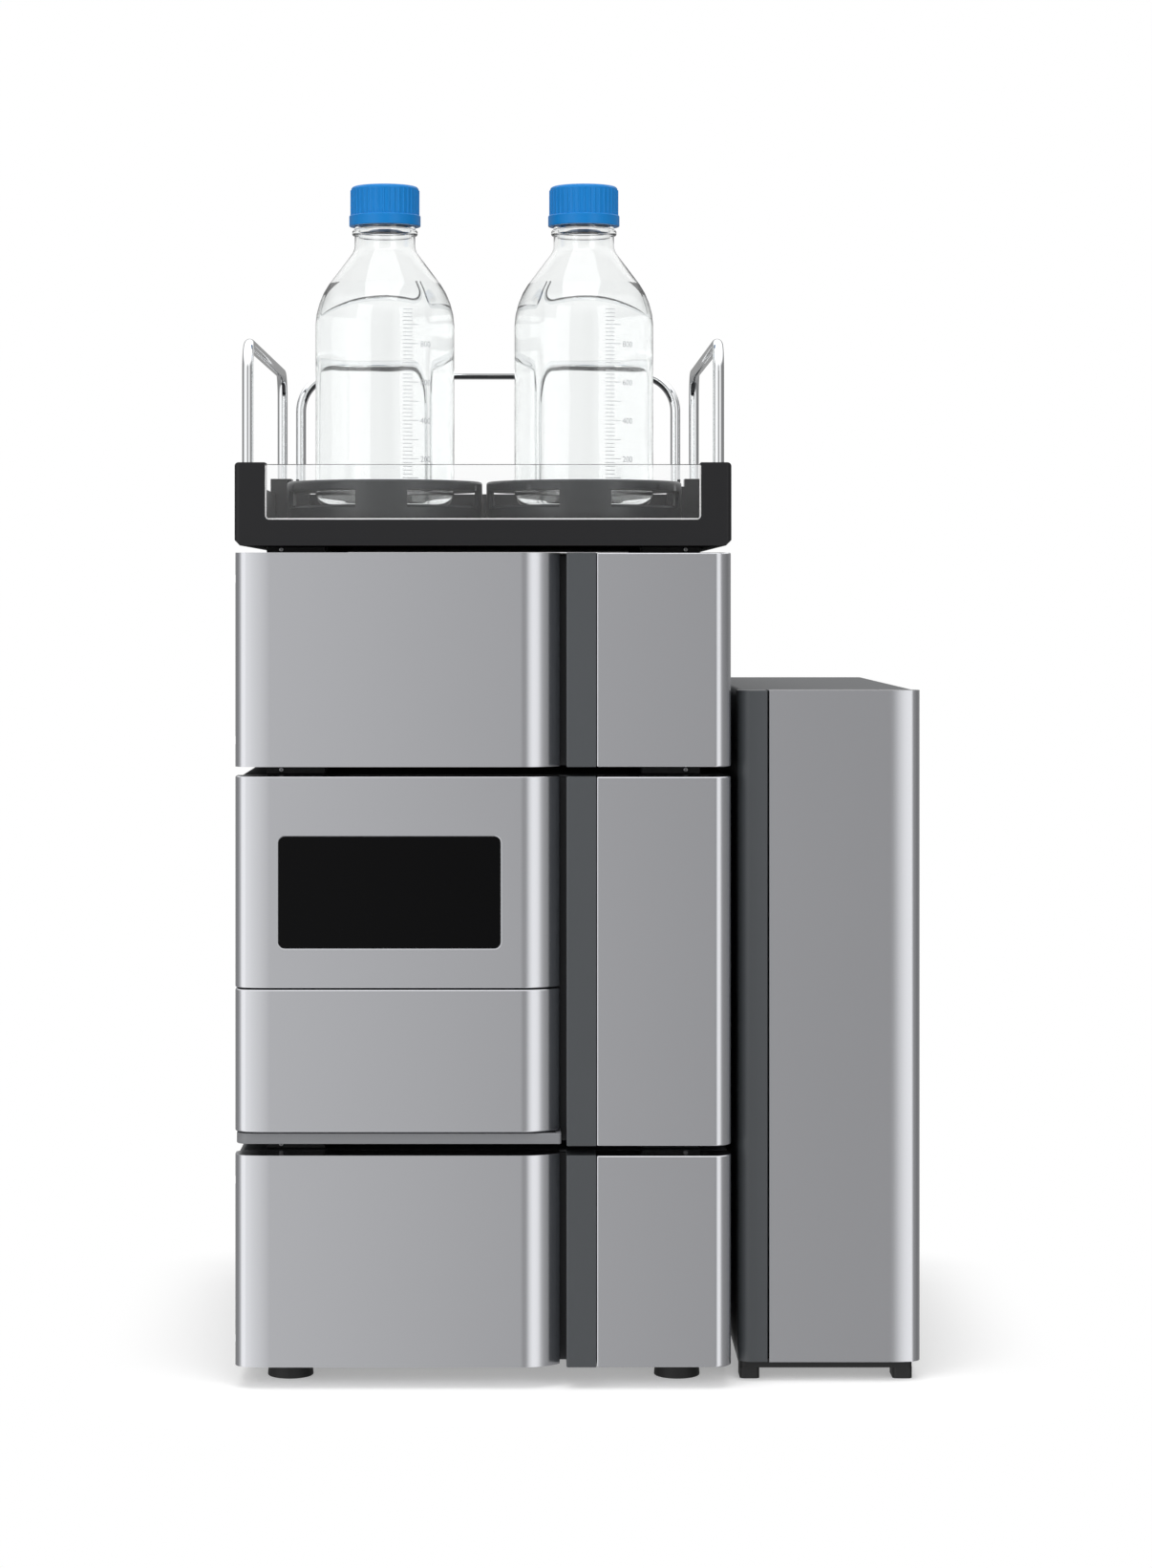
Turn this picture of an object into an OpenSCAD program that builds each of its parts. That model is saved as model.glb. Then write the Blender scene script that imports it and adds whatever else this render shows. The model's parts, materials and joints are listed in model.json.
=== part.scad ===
// Liquid chromatography stack: a pump, a sampler and a detector under a solvent tray,
// with a column oven standing beside them. Millimetres, +Z up, front faces -Y.
// The origin is the middle of the footprint, on the bench.

/* [Stack] */
// Width of every module in the stack
module_w = 350; // [330:1:380]
// Depth of every module, from front skin to rear edge
module_d = 440; // [410:1:480]
// Height of the detector, the lowest module
detector_h = 149; // [135:1:180]
// Height of the sampler, the middle module
sampler_h = 260; // [245:1:300]
// Height of the pump, the top module
pump_h = 151; // [140:1:180]
// Air gap that the spacer feet hold between two modules
module_gap = 6.7; // [5:0.1:12]
// Height of the round feet under the stack
foot_h = 15.8; // [12:0.1:25]
// Diameter of a round foot at the bench
foot_dia = 33; // [24:1:40]

/* [Front shells] */
// Depth of the silver shells that cap the front
shell_d = 26; // [24:1:32]
// Wall of a front shell
shell_t = 3; // [2:0.5:4]
// Radius of the upright corner on the hinge side
corner_r = 10; // [8:0.5:14]
// Distance from the side in which an upright corner eases into the flat front
corner_ease = 25; // [20:1:26]
// Radius of the wide arc by which it eases in
ease_r = 90; // [70:5:140]
// Radius of the upright corner of the right fascia
fascia_r = 12; // [8:0.5:16]
// Width of the right fascia
fascia_w = 95; // [85:1:110]
// Width of the dark pillar beside the fascia
pillar_w = 21.2; // [18:0.1:26]
// Radius of the curved flank that the fingers reach behind
flank_r = 36; // [33:1:44]
// Angle that the flank turns through before it runs straight back
flank_angle = 50; // [40:1:55]
// Slot between the flank and the pillar
finger_gap = 4.7; // [3.5:0.1:7]
// Slit between two fixed parts, or between a shell and the case
slit = 0.3; // [0.2:0.05:0.5]

/* [Sampler front] */
// Height of the drawer front
drawer_front_h = 100.5; // [90:0.5:112]
// Height of the sill under the drawer front
sill_h = 7.6; // [6:0.1:12]
// Seam above and below the drawer front
seam = 1; // [0.6:0.1:2]
// Width of the screen
screen_w = 156.5; // [130:0.5:170]
// Height of the screen
screen_h = 79; // [60:0.5:90]
// Distance from the left side of the module to the screen
screen_left = 31; // [24:0.5:36]
// Distance from the top of the module to the screen
screen_drop = 42; // [30:0.5:50]
// Thickness of the screen glass
screen_t = 1.6; // [1:0.1:2]
// Corner radius of the screen
screen_r = 4.7; // [2:0.1:8]

/* [Case] */
// Sheet thickness of the wrap cover
cover_t = 1.5; // [1:0.1:2.5]
// Bend radius of the wrap cover
cover_r = 6; // [4:0.5:10]
// Thickness of the floor and rear panel
chassis_t = 2; // [1.5:0.1:3]
// How far the rear panel sits in from the rear edge
rear_inset = 10; // [8:0.5:16]
// Wall of a compartment liner
liner_t = 2.5; // [2:0.1:4]
// Depth of a liner behind the front plate
liner_d = 52; // [46:1:70]

/* [Hinges] */
// Radius of the barrel along the hinge side of a door
barrel_r = 8; // [7:0.5:9]
// Radius of a hinge pin
pin_r = 3; // [2:0.1:4]
// Running clearance round a hinge pin
pin_play = 0.05; // [0.02:0.01:0.1]
// Length of a hinge pin
pin_l = 25; // [20:1:30]
// Thickness of a hinge tab
tab_t = 5; // [4:0.5:7]
// Height from the end of a door to its hinge tab
tab_inset = 16; // [15:1:24]

/* [Drawer] */
// Inner width of the drawer tray
drawer_w = 186; // [180:1:196]
// Inner depth of the drawer tray
drawer_d = 178; // [170:1:200]
// Height of the drawer tray wall
drawer_h = 34; // [28:1:42]
// Wall of the drawer tray
drawer_t = 2.5; // [2:0.1:4]
// Running clearance of the drawer in its rails
drawer_play = 0.3; // [0.2:0.1:0.8]
// Columns of vials in one rack
rack_cols = 4; // [3:1:4]
// Rows of vials in one rack
rack_rows = 6; // [4:1:6]
// Spacing of the vials in a rack
vial_pitch = 20; // [17:0.5:21]
// Diameter of a vial
vial_dia = 12; // [10:0.5:14]
// Height of a vial with its cap
vial_h = 38; // [32:1:42]
// Height of a rack
rack_h = 26; // [22:1:30]

/* [Solvent tray] */
// Depth of the tray, front to back
tray_d = 385; // [350:1:400]
// Gap between the tray and the pump, held by the tray feet
tray_gap = 4.9; // [3:0.1:10]
// Thickness of the tray floor
tray_floor = 4; // [3:0.5:6]
// Height of the front bar above the tray's underside
bar_h = 18.3; // [14:0.1:24]
// Height of the corner posts above the tray's underside
post_h = 58.6; // [50:0.1:66]
// Width of a front post
post_w = 21.5; // [16:0.5:28]
// Depth of a corner post
post_d = 22; // [18:0.5:30]
// Height of the side and rear walls above the tray's underside
tray_wall_h = 47; // [38:0.5:52]
// Thickness of the side and rear walls
tray_wall = 4; // [3:0.5:6]
// Thickness of the clear front window
window_t = 4; // [3:0.5:6]
// Diameter of the rail rod
rod_dia = 8; // [6:0.5:10]
// Height of a rail above the corner posts, to the rod's middle
rail_rise = 85; // [60:1:110]
// Bend radius of the side rails
side_bend = 20; // [14:1:30]
// Bend radius of the rear rail
rear_bend = 30; // [16:1:40]

/* [Bottles] */
// Outer radius of a bottle
bottle_r = 50.5; // [46:0.5:51]
// Height of the glass
bottle_h = 229; // [210:1:240]
// Wall of the glass
glass_t = 2.4; // [1.8:0.1:3]
// Radius of the bottle's shoulder
shoulder_r = 48; // [42:1:50]
// Angle that the shoulder turns through
shoulder_angle = 37; // [34:1:42]
// Outer radius of the neck
neck_r = 22; // [20:0.5:23]
// Height of the cap
cap_h = 29; // [25:0.5:32]
// Outer radius of the ribbed part of the cap
cap_r = 24.6; // [24.2:0.1:27]
// Ribs round the cap
cap_ribs = 40; // [24:1:48]
// Outer diameter of a bottle holder
holder_dia = 142; // [130:1:143]
// Height of a bottle holder
holder_h = 43.4; // [36:0.1:50]
// Height of the seat that the bottle stands on, above the tray floor
seat_h = 25.8; // [18:0.1:30]
// Distance between the two bottles
bottle_pitch = 145; // [144:1:152]
// Distance from the front of the tray to the middle of a bottle
bottle_depth = 92; // [88:1:120]

/* [Oven] */
// Width of the column oven
oven_w = 130; // [115:1:160]
// Height of the oven with its plinth
oven_h = 491.5; // [440:0.5:540]
// Distance between the oven and the stack
oven_gap = 6; // [4:0.5:20]
// How far the oven's front stands behind the stack's
oven_setback = 25; // [0:1:40]
// Height of the black plinth
plinth_h = 14.2; // [10:0.1:25]
// Radius of the oven's upright front corners
oven_r = 9; // [8.5:0.5:14]
// Depth of the column chamber behind the door
chamber_d = 62; // [52:1:90]
// Length of the separating column
column_l = 250; // [150:1:300]
// Radius of the column tube
column_r = 5; // [4:0.1:6]

/* [Hidden] */
$fn = 64;

// Small amount by which a cutter passes through what it cuts
over = 1;

// Places of the units, from the middle of the footprint
total_w = module_w + oven_gap + oven_w;
stack_x = (module_w - total_w) / 2;
oven_x = (total_w - oven_w) / 2;
front_y = -module_d / 2;
oven_d = module_d - oven_setback;
detector_z = foot_h;
sampler_z = detector_z + detector_h + module_gap;
pump_z = sampler_z + sampler_h + module_gap;
pump_top = pump_z + pump_h;
tray_z = pump_top + tray_gap;
floor_z = tray_z + tray_floor;

// Lines across the front of a module, from its middle
half_w = module_w / 2;
fascia_x = half_w - fascia_w;
pillar_x = fascia_x - pillar_w;
flank_x = pillar_x - finger_gap;
flat_x = flank_x - flank_r * sin(flank_angle);
case_y = shell_d + slit;
liner_y = case_y + shell_t;
back_y = liner_y + liner_d;
inner_x = half_w - cover_t - slit;

// Hinge axis of a module door, from the middle of the module and the front skin
hinge_x = -half_w + barrel_r;
hinge_y = shell_d - barrel_r;
// Free height round a hinge tab in its door
notch_h = tab_t + 2 * slit;
// Opening of the compartments behind the doors
opening_l = hinge_x + barrel_r + 2;
opening_r = flank_x - 3;
opening_margin = 9;

// Slots over the fan in a rear panel
fan_count = 9;
fan_pitch = 8;
fan_dia = 84;

// Feet and pads, from the front and rear of a module
foot_front = 35 + foot_dia / 2;
foot_rear = 60;
pad_front = 32;
pad_rear = 110;

// Flow cell cartridge and lamp housing, drawn in x, z and depth
cell_plate = [92, 68, 8];
cell_block = [36, 44, 14];
lamp = [58, 84, 30];
lamp_fins = 9;
lamp_fin_pitch = 8;

// Sampler front
sill_z = sampler_z + seam;
drawer_z = sill_z + sill_h + seam;
panel_z = drawer_z + drawer_front_h + seam;

// Solvent tray
tray_half = half_w;
post_top = tray_z + post_h;
rail_z = post_top + rail_rise;
side_rail_x = tray_half - post_w / 2 + 2;
rear_post_y = tray_d - post_d;
rod_y = post_d / 2;
rear_rod_y = tray_d - post_d / 2;
rear_rail_x = side_rail_x - rod_dia - 7;
socket_d = post_h - tray_floor - 10;
bottle_z = floor_z + seat_h;
bottle_top = bottle_z + bottle_h;

// Bottle neck, cap and seal
seal_t = 2;
cap_wall = 2;
cap_play = 0.4;
cap_z = bottle_top + seal_t + cap_wall - cap_h;
neck_fillet = 10;
shoulder_x = bottle_r - shoulder_r;
fillet_x = neck_r + neck_fillet;
bead_h = 4.6;
bead_drop = bottle_top - cap_z + 2.5 + bead_h;

// Column chamber in the oven
oven_half = oven_w / 2;
oven_z = plinth_h;
body_h = oven_h - plinth_h;
oven_cover_t = 2;
oven_pillar_x = -oven_half + pillar_w;
oven_hinge_x = oven_half - barrel_r;
door_slit = 1;
gasket_w = 2.5;
gasket_t = 3;
chamber_y = case_y + chamber_d;
chamber_l = oven_pillar_x + door_slit + shell_t + gasket_w + 1;
chamber_r = oven_hinge_x - barrel_r - gasket_w - 1;
chamber_margin = 14;
heater_t = 9;
column_x = (chamber_l + chamber_r) / 2;
column_y = chamber_y - heater_t - 16;
column_z = oven_z + (body_h - column_l) / 2;
nut_l = 12;
fitting_l = 18;
clip_h = 12;
clip_inset = 55;

// Mains inlet with its switch, one on the rear of every unit
inlet_w = 30;
inlet_h = 52;
inlet_x = half_w - 34;
oven_inlet_x = oven_half - 30;
inlet_lift = 14;
port = [22, 17];
inlet_to_lan = 60;
inlet_to_port = 40;
port_pitch = 32;
lan_x = inlet_x - inlet_to_lan;
port_x = lan_x - port_pitch;
oven_port_x = oven_inlet_x - inlet_to_port;
switch_w = 12;
switch_h = 18;
switch_z = 36;
rocker_angle = 7;

silver = [0.68, 0.69, 0.71];
charcoal = [0.2, 0.21, 0.22];
near_black = [0.1, 0.1, 0.11];
steel = [0.75, 0.76, 0.78];
clear = [0.85, 0.9, 0.92, 0.4];
blue = [0.12, 0.44, 0.72];
white = [0.92, 0.92, 0.9];

// Moves its children from the front skin of the stack to their place
module in_stack(z) {
    translate([stack_x, front_y, z]) children();
}

module in_oven(z) {
    translate([oven_x, front_y + oven_setback, z]) children();
}

module box(low, high) {
    translate(low) cube(high - low);
}

module mirrored_pair() {
    children();
    mirror([1, 0, 0]) children();
}

// What a fillet of radius r takes off a corner at the origin, material towards +x +y
module corner_waste(r) {
    difference() {
        translate([-over, -over]) square(r + over);
        translate([r, r]) circle(r);
    }
}

// What a soft corner takes off at the origin, material towards +x +y: a fillet of radius r
// that runs tangent into a wide arc, seen inset from the skin
module soft_corner_waste(r, inset) {
    wide = [corner_ease, ease_r];
    tight = [r, ease_r - sqrt(pow(ease_r - r, 2) - pow(corner_ease - r, 2))];
    outward = (tight - wide) / (ease_r - r);
    meet = tight + outward * (r + over);
    difference() {
        translate([-over, -over]) square([corner_ease + over, tight[1] + over]);
        translate(wide) circle(ease_r - inset);
    }
    difference() {
        polygon([[-over, tight[1]], tight, meet, [-over, meet[1]]]);
        translate(tight) circle(r - inset);
    }
}

// Rectangle whose corners are rounded by [front left, front right, rear right, rear left]
module rounded_rect(low, high, radii) {
    difference() {
        translate(low) square(high - low);
        if (radii[0] > 0) translate(low) corner_waste(radii[0]);
        if (radii[1] > 0) translate([high[0], low[1]]) mirror([1, 0]) corner_waste(radii[1]);
        if (radii[2] > 0) translate(high) mirror([1, 0]) mirror([0, 1]) corner_waste(radii[2]);
        if (radii[3] > 0) translate([low[0], high[1]]) mirror([0, 1]) corner_waste(radii[3]);
    }
}

// Extrudes a profile drawn in x and z along y
module along_y(y0, y1) {
    translate([0, y1, 0]) rotate([90, 0, 0]) linear_extrude(y1 - y0) children();
}

// Extrudes a profile drawn in y and z along x
module along_x(x0, x1) {
    translate([x0, 0, 0]) rotate([90, 0, 90]) linear_extrude(x1 - x0) children();
}

/* ---------- front shells ---------- */

// Plan of a left front, set in from the skin by inset
module front_plan(inset) {
    difference() {
        translate([-half_w + inset, inset])
            square([flank_x + half_w - 2 * inset, shell_d - inset + (inset > 0 ? over : 0)]);
        translate([-half_w, 0]) soft_corner_waste(corner_r, inset);
        // Outside the curved flank
        translate([flat_x, flank_r]) difference() {
            translate([0, -flank_r - over]) square([flank_r, flank_r + over]);
            circle(flank_r - inset);
        }
    }
}

// Left front: skin, flank and the lips along its top and bottom
module front_shell(h) {
    linear_extrude(h) difference() {
        front_plan(0);
        front_plan(shell_t);
    }
    linear_extrude(shell_t) front_plan(0);
    translate([0, 0, h - shell_t]) linear_extrude(shell_t) front_plan(0);
}

// Heights of the two hinge tabs of a door
function tab_heights(h) = [tab_inset, h - tab_inset - tab_t];

// Bores and notches that the hinge needs, on a vertical axis at the origin
module hinge_cuts(h) {
    for (z = tab_heights(h)) {
        translate([-barrel_r - over, -barrel_r - over, z - slit])
            cube([2 * (barrel_r + over), 2 * (barrel_r + over), notch_h]);
        translate([0, 0, z + (tab_t - pin_l) / 2 - slit])
            cylinder(r = pin_r + pin_play, h = pin_l + 2 * slit);
    }
}

// Hinge tabs reaching forward from y = 0, with their pin holes
module hinge_tabs(h, reach) {
    half_tab = pin_r + 1.2;
    for (z = tab_heights(h)) {
        translate([0, 0, z]) difference() {
            union() {
                cylinder(r = half_tab, h = tab_t);
                translate([-half_tab, 0, 0]) cube([2 * half_tab, reach, tab_t]);
            }
            translate([0, 0, -over]) cylinder(r = pin_r, h = tab_t + 2 * over);
        }
    }
}

module pins_at(h) {
    for (z = tab_heights(h)) {
        translate([0, 0, z + (tab_t - pin_l) / 2]) cylinder(r = pin_r, h = pin_l);
    }
}

module module_door(h) {
    difference() {
        union() {
            difference() {
                front_shell(h);
                // The corner behind the hinge is rounded about the hinge axis
                translate([hinge_x - barrel_r - over, hinge_y, -over])
                    cube([barrel_r + over, barrel_r + over, h + 2 * over]);
            }
            translate([hinge_x, hinge_y, 0]) cylinder(r = barrel_r, h = h);
        }
        translate([hinge_x, hinge_y, 0]) hinge_cuts(h);
    }
}

module pillar(h) {
    plan_low = [pillar_x, 0];
    plan_high = [fascia_x - slit, shell_d];
    linear_extrude(h) difference() {
        rounded_rect(plan_low, plan_high, [1.2, 0, 0, 0]);
        translate(plan_low + [shell_t, shell_t]) square([pillar_w - slit - 2 * shell_t, shell_d]);
    }
    for (z = [0, h - shell_t]) {
        translate([0, 0, z]) linear_extrude(shell_t) rounded_rect(plan_low, plan_high, [1.2, 0, 0, 0]);
    }
}

module fascia_plan(inset) {
    rounded_rect([fascia_x + inset, inset], [half_w - inset, shell_d + (inset > 0 ? over : 0)],
        [0, fascia_r - inset, 0, 0]);
}

module fascia(h) {
    linear_extrude(h) difference() {
        fascia_plan(0);
        fascia_plan(shell_t);
    }
    for (z = [0, h - shell_t]) {
        translate([0, 0, z]) linear_extrude(shell_t) fascia_plan(0);
    }
}

/* ---------- module cases ---------- */

// Wrap cover: a sheet folded over the top and down both sides, open below
module wrap_cover(h) {
    along_y(case_y, module_d) difference() {
        rounded_rect([-half_w, 0], [half_w, h], [0, 0, cover_r, cover_r]);
        rounded_rect([-half_w + cover_t, -over], [half_w - cover_t, h - cover_t],
            [0, 0, cover_r - cover_t, cover_r - cover_t]);
    }
}

// Slots of the fan guard, centred on the origin in the rear panel
module fan_slots(count, pitch, longest) {
    reach = (count - 1) / 2;
    for (i = [-reach : reach]) {
        half_slot = sqrt(pow(longest / 2, 2) - pow(i * pitch, 2));
        translate([-half_slot, -over, i * pitch - pitch / 4])
            cube([2 * half_slot, chassis_t + 2 * over, pitch / 2]);
    }
}

// Floor and rear panel of a module, bent from one sheet
module chassis(h) {
    rear_y = module_d - rear_inset;
    difference() {
        union() {
            box([-inner_x, liner_y, 0], [inner_x, rear_y, chassis_t]);
            box([-inner_x, rear_y - chassis_t, 0], [inner_x, rear_y, h - cover_t - slit - cover_r + 2]);
        }
        translate([-half_w / 3, rear_y - chassis_t, h / 2]) fan_slots(fan_count, fan_pitch, fan_dia);
        translate([inlet_x - inlet_w / 2 + 2, rear_y - chassis_t - over, inlet_lift + 2])
            cube([inlet_w - 4, chassis_t + 2 * over, inlet_h - 4]);
        for (x = [lan_x, port_x]) {
            translate([x - port[0] / 2 + 2, rear_y - chassis_t - over, inlet_lift + 2])
                cube([port[0] - 4, chassis_t + 2 * over, port[1] - 4]);
        }
    }
}

// Front plate with a liner box behind its opening, z from the bottom of the module
module compartment(h, z0, z1, depth) {
    plate_top = h - cover_t - slit;
    difference() {
        union() {
            along_y(case_y, liner_y) rounded_rect([-inner_x, 0], [inner_x, plate_top],
                [0, 0, cover_r - cover_t, cover_r - cover_t]);
            box([opening_l - liner_t, liner_y - 0.01, z0 - liner_t],
                [opening_r + liner_t, liner_y + depth, z1 + liner_t]);
        }
        box([opening_l, case_y - over, z0], [opening_r, liner_y + depth - liner_t, z1]);
    }
}

module door_compartment(h) {
    compartment(h, opening_margin, h - opening_margin - 2, liner_d);
    translate([hinge_x, hinge_y, 0]) hinge_tabs(h, case_y - hinge_y + 0.5);
}

/* ---------- mains inlet and switch ---------- */

// Housing of the inlet and its rocker switch, mouth facing +y, flange on y = 0
module inlet_unit() {
    flange_t = 2;
    body_d = 20;
    socket = [24, 16];
    socket_z = 9;
    switch_z = 36;
    difference() {
        union() {
            box([-inlet_w / 2, 0, 0], [inlet_w / 2, flange_t, inlet_h]);
            box([-inlet_w / 2 + 2.3, -body_d, 2.3], [inlet_w / 2 - 2.3, 0.01, inlet_h - 2.3]);
        }
        box([-socket[0] / 2, flange_t - 15, socket_z - socket[1] / 2 + 8],
            [socket[0] / 2, flange_t + over, socket_z + socket[1] / 2 + 8]);
        box([-switch_w / 2 - slit, -12, switch_z - switch_h / 2 - 1],
            [switch_w / 2 + slit, flange_t + over, switch_z + switch_h / 2 + 1]);
        translate([-switch_w / 2 - 2, -4, switch_z]) rotate([0, 90, 0])
            cylinder(r = 1.5 + pin_play, h = switch_w + 4);
    }
    for (x = [-7, 0, 7]) {
        pin_z = socket_z + 8 + (x == 0 ? 2 : -2);
        box([x - 1, flange_t - 15 - 0.01, pin_z - 2], [x + 1, flange_t - 7, pin_z + 2]);
    }
}

// Rocker on its two trunnions, at rest with its lower end pressed in
module rocker() {
    half = switch_h / 2 - 0.4;
    translate([0, -4, switch_z]) rotate([-rocker_angle, 0, 0]) {
        along_x(-switch_w / 2, switch_w / 2) polygon([
            [-4, -half + 2], [4, -half], [7.2, -half], [5.2, 0], [7.2, half], [4, half], [-4, half - 2]
        ]);
        translate([-switch_w / 2 - 1.7, 0, 0]) rotate([0, 90, 0]) cylinder(r = 1.5, h = switch_w + 3.4);
    }
}

module at_inlet(z) {
    in_stack(z) translate([inlet_x, module_d - rear_inset, inlet_lift]) children();
}

module at_oven_inlet() {
    in_oven(oven_z) translate([oven_inlet_x, oven_d - rear_inset, inlet_lift]) children();
}

// Signal port with a flange on y = 0 and its cavity facing +y
module signal_port() {
    difference() {
        union() {
            box([-port[0] / 2, 0, 0], [port[0] / 2, 1.5, port[1]]);
            box([-port[0] / 2 + 2.3, -12, 2.3], [port[0] / 2 - 2.3, 0.01, port[1] - 2.3]);
        }
        along_y(-9, 1.5 + over) translate([0, port[1] / 2]) children();
    }
}

// Mouth of a network socket: a slot with a step for the latch
module lan_mouth() {
    translate([-6, -3.5]) square([12, 7]);
    translate([-3, -5]) square([6, 3]);
}

// Mouth of a control port: a D shape with its lower corners cut
module control_mouth() {
    polygon([[-7, 4], [7, 4], [5.5, -4], [-5.5, -4]]);
}

module rear_sockets() {
    color(near_black) {
        for (z = [detector_z, sampler_z, pump_z]) {
            at_inlet(z) inlet_unit();
            at_inlet(z) translate([lan_x - inlet_x, 0, 0]) signal_port() lan_mouth();
            at_inlet(z) translate([port_x - inlet_x, 0, 0]) signal_port() control_mouth();
        }
        at_oven_inlet() inlet_unit();
        at_oven_inlet() translate([oven_port_x - oven_inlet_x, 0, 0]) signal_port() control_mouth();
    }
}

module pump_switch() {
    color(near_black) at_inlet(pump_z) rocker();
}

module sampler_switch() {
    color(near_black) at_inlet(sampler_z) rocker();
}

module detector_switch() {
    color(near_black) at_inlet(detector_z) rocker();
}

module oven_switch() {
    color(near_black) at_oven_inlet() rocker();
}

/* ---------- pump ---------- */

head_x = [-92, -22];
head_z = pump_h / 2 + 2;
head_r = 23;
head_l = 26;
head_block = [44, 14, 52];
valve_r = 7;
valve_l = 17;
purge_x = opening_r - 20;
purge_z = head_z - 10;
knob_l = 16;

module pump_cover() {
    color(charcoal) in_stack(pump_z) wrap_cover(pump_h);
}

module pump_chassis() {
    color(charcoal) in_stack(pump_z) chassis(pump_h);
}

module pump_compartment() {
    color(near_black) in_stack(pump_z) door_compartment(pump_h);
}

module pump_door() {
    color(silver) in_stack(pump_z) module_door(pump_h);
}

module pump_pillar() {
    color(charcoal) in_stack(pump_z) pillar(pump_h);
}

module pump_fascia() {
    color(silver) in_stack(pump_z) fascia(pump_h);
}

// Two heads: a block with a domed cylinder before it and four cap screws
module pump_heads() {
    color(steel) in_stack(pump_z) for (x = head_x) {
        translate([x, back_y - liner_t, head_z]) rotate([90, 0, 0]) {
            translate([-head_block[0] / 2, -head_block[2] / 2, 0])
                cube([head_block[0], head_block[2], head_block[1]]);
            translate([0, 0, head_block[1]]) cylinder(r = head_r - 4, h = head_l - head_block[1] / 2);
            translate([0, 0, head_block[1] + head_l - head_block[1] / 2])
                cylinder(r1 = head_r - 4, r2 = head_r - 7, h = 3);
            for (sx = [-1, 1], sz = [-1, 1]) {
                translate([sx * (head_block[0] / 2 - 5), sz * (head_block[2] / 2 - 5), head_block[1]])
                    cylinder(r = 3, h = 3.5);
            }
        }
    }
}

// An inlet valve under each head and an outlet valve on top of it
module check_valves() {
    valve_y = back_y - liner_t - head_block[1] / 2;
    color(steel) in_stack(pump_z) for (x = head_x, s = [-1, 1]) {
        translate([x, valve_y, head_z + s * head_block[2] / 2]) mirror([0, 0, s < 0 ? 1 : 0]) {
            cylinder(r = valve_r - 1.5, h = valve_l - 6);
            translate([0, 0, 3]) cylinder(r = valve_r, h = 7, $fn = 6);
            translate([0, 0, valve_l - 6]) cylinder(r = 3.4, h = 6);
        }
    }
}

module purge_valve() {
    color(steel) in_stack(pump_z) translate([purge_x, back_y - liner_t, purge_z]) rotate([90, 0, 0])
        difference() {
            union() {
                translate([-12, -12, 0]) cube([24, 24, 16]);
                translate([0, 0, 16]) cylinder(r = 8, h = 5);
                translate([0, 12, 8]) rotate([-90, 0, 0]) cylinder(r = 4, h = 7);
            }
            translate([0, 0, 9]) cylinder(r = 3 + pin_play, h = 12 + over);
        }
}

// Black knob with finger scallops, on a spindle that turns in the purge valve
module purge_knob() {
    knob_r = 12;
    color(near_black) in_stack(pump_z) translate([purge_x, back_y - liner_t, purge_z]) rotate([90, 0, 0]) {
        translate([0, 0, 9 + slit]) cylinder(r = 3, h = 13);
        translate([0, 0, 21 + slit]) difference() {
            cylinder(r = knob_r, h = knob_l);
            for (i = [0 : 7]) {
                rotate(i * 45) translate([knob_r + 1.4, 0, -over]) cylinder(r = 3, h = knob_l + 2 * over);
            }
        }
    }
}

// Drip trays on the floors of the pump and detector compartments
module leak_tray(z0) {
    low = [opening_l + 2, liner_y, z0];
    high = [opening_r - 2, back_y - liner_t - slit, z0 + 9];
    difference() {
        box(low, high);
        box(low + [2, 2, 2], high + [-2, -2, over]);
        translate([low[0] + 14, (low[1] + high[1]) / 2, z0 - over]) cylinder(r = 4, h = 4);
    }
}

module leak_trays() {
    color(charcoal) {
        in_stack(pump_z) leak_tray(opening_margin);
        in_stack(detector_z) leak_tray(opening_margin);
    }
}

/* ---------- detector ---------- */

cell_x = -62;
cell_z = detector_h / 2 + 6;

module detector_cover() {
    color(charcoal) in_stack(detector_z) wrap_cover(detector_h);
}

module detector_chassis() {
    color(charcoal) in_stack(detector_z) chassis(detector_h);
}

module detector_compartment() {
    color(near_black) in_stack(detector_z) door_compartment(detector_h);
}

module detector_door() {
    color(silver) in_stack(detector_z) module_door(detector_h);
}

module detector_pillar() {
    color(charcoal) in_stack(detector_z) pillar(detector_h);
}

module detector_fascia() {
    color(silver) in_stack(detector_z) fascia(detector_h);
}

// Flow cell cartridge: face plate, handle, two thumbscrews and two fluid unions
module flow_cell() {
    screw_r = 5;
    head_r = 7;
    face = cell_plate[2];
    color(steel) in_stack(detector_z) translate([cell_x, back_y - liner_t, cell_z]) rotate([90, 0, 0]) {
        translate([-cell_plate[0] / 2, -cell_plate[1] / 2, 0]) cube(cell_plate);
        translate([-cell_block[0] / 2, -cell_block[1] / 2, face]) cube(cell_block);
        mirrored_pair() translate([cell_plate[0] / 2 - head_r - 3, 0, face]) {
            cylinder(r = screw_r, h = 5);
            translate([0, 0, 5]) cylinder(r = head_r, h = 9);
        }
        for (s = [-1, 1]) {
            translate([0, s * (cell_block[1] / 2 - 10), face + cell_block[2]]) cylinder(r = 5, h = 8, $fn = 6);
        }
    }
}

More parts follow.
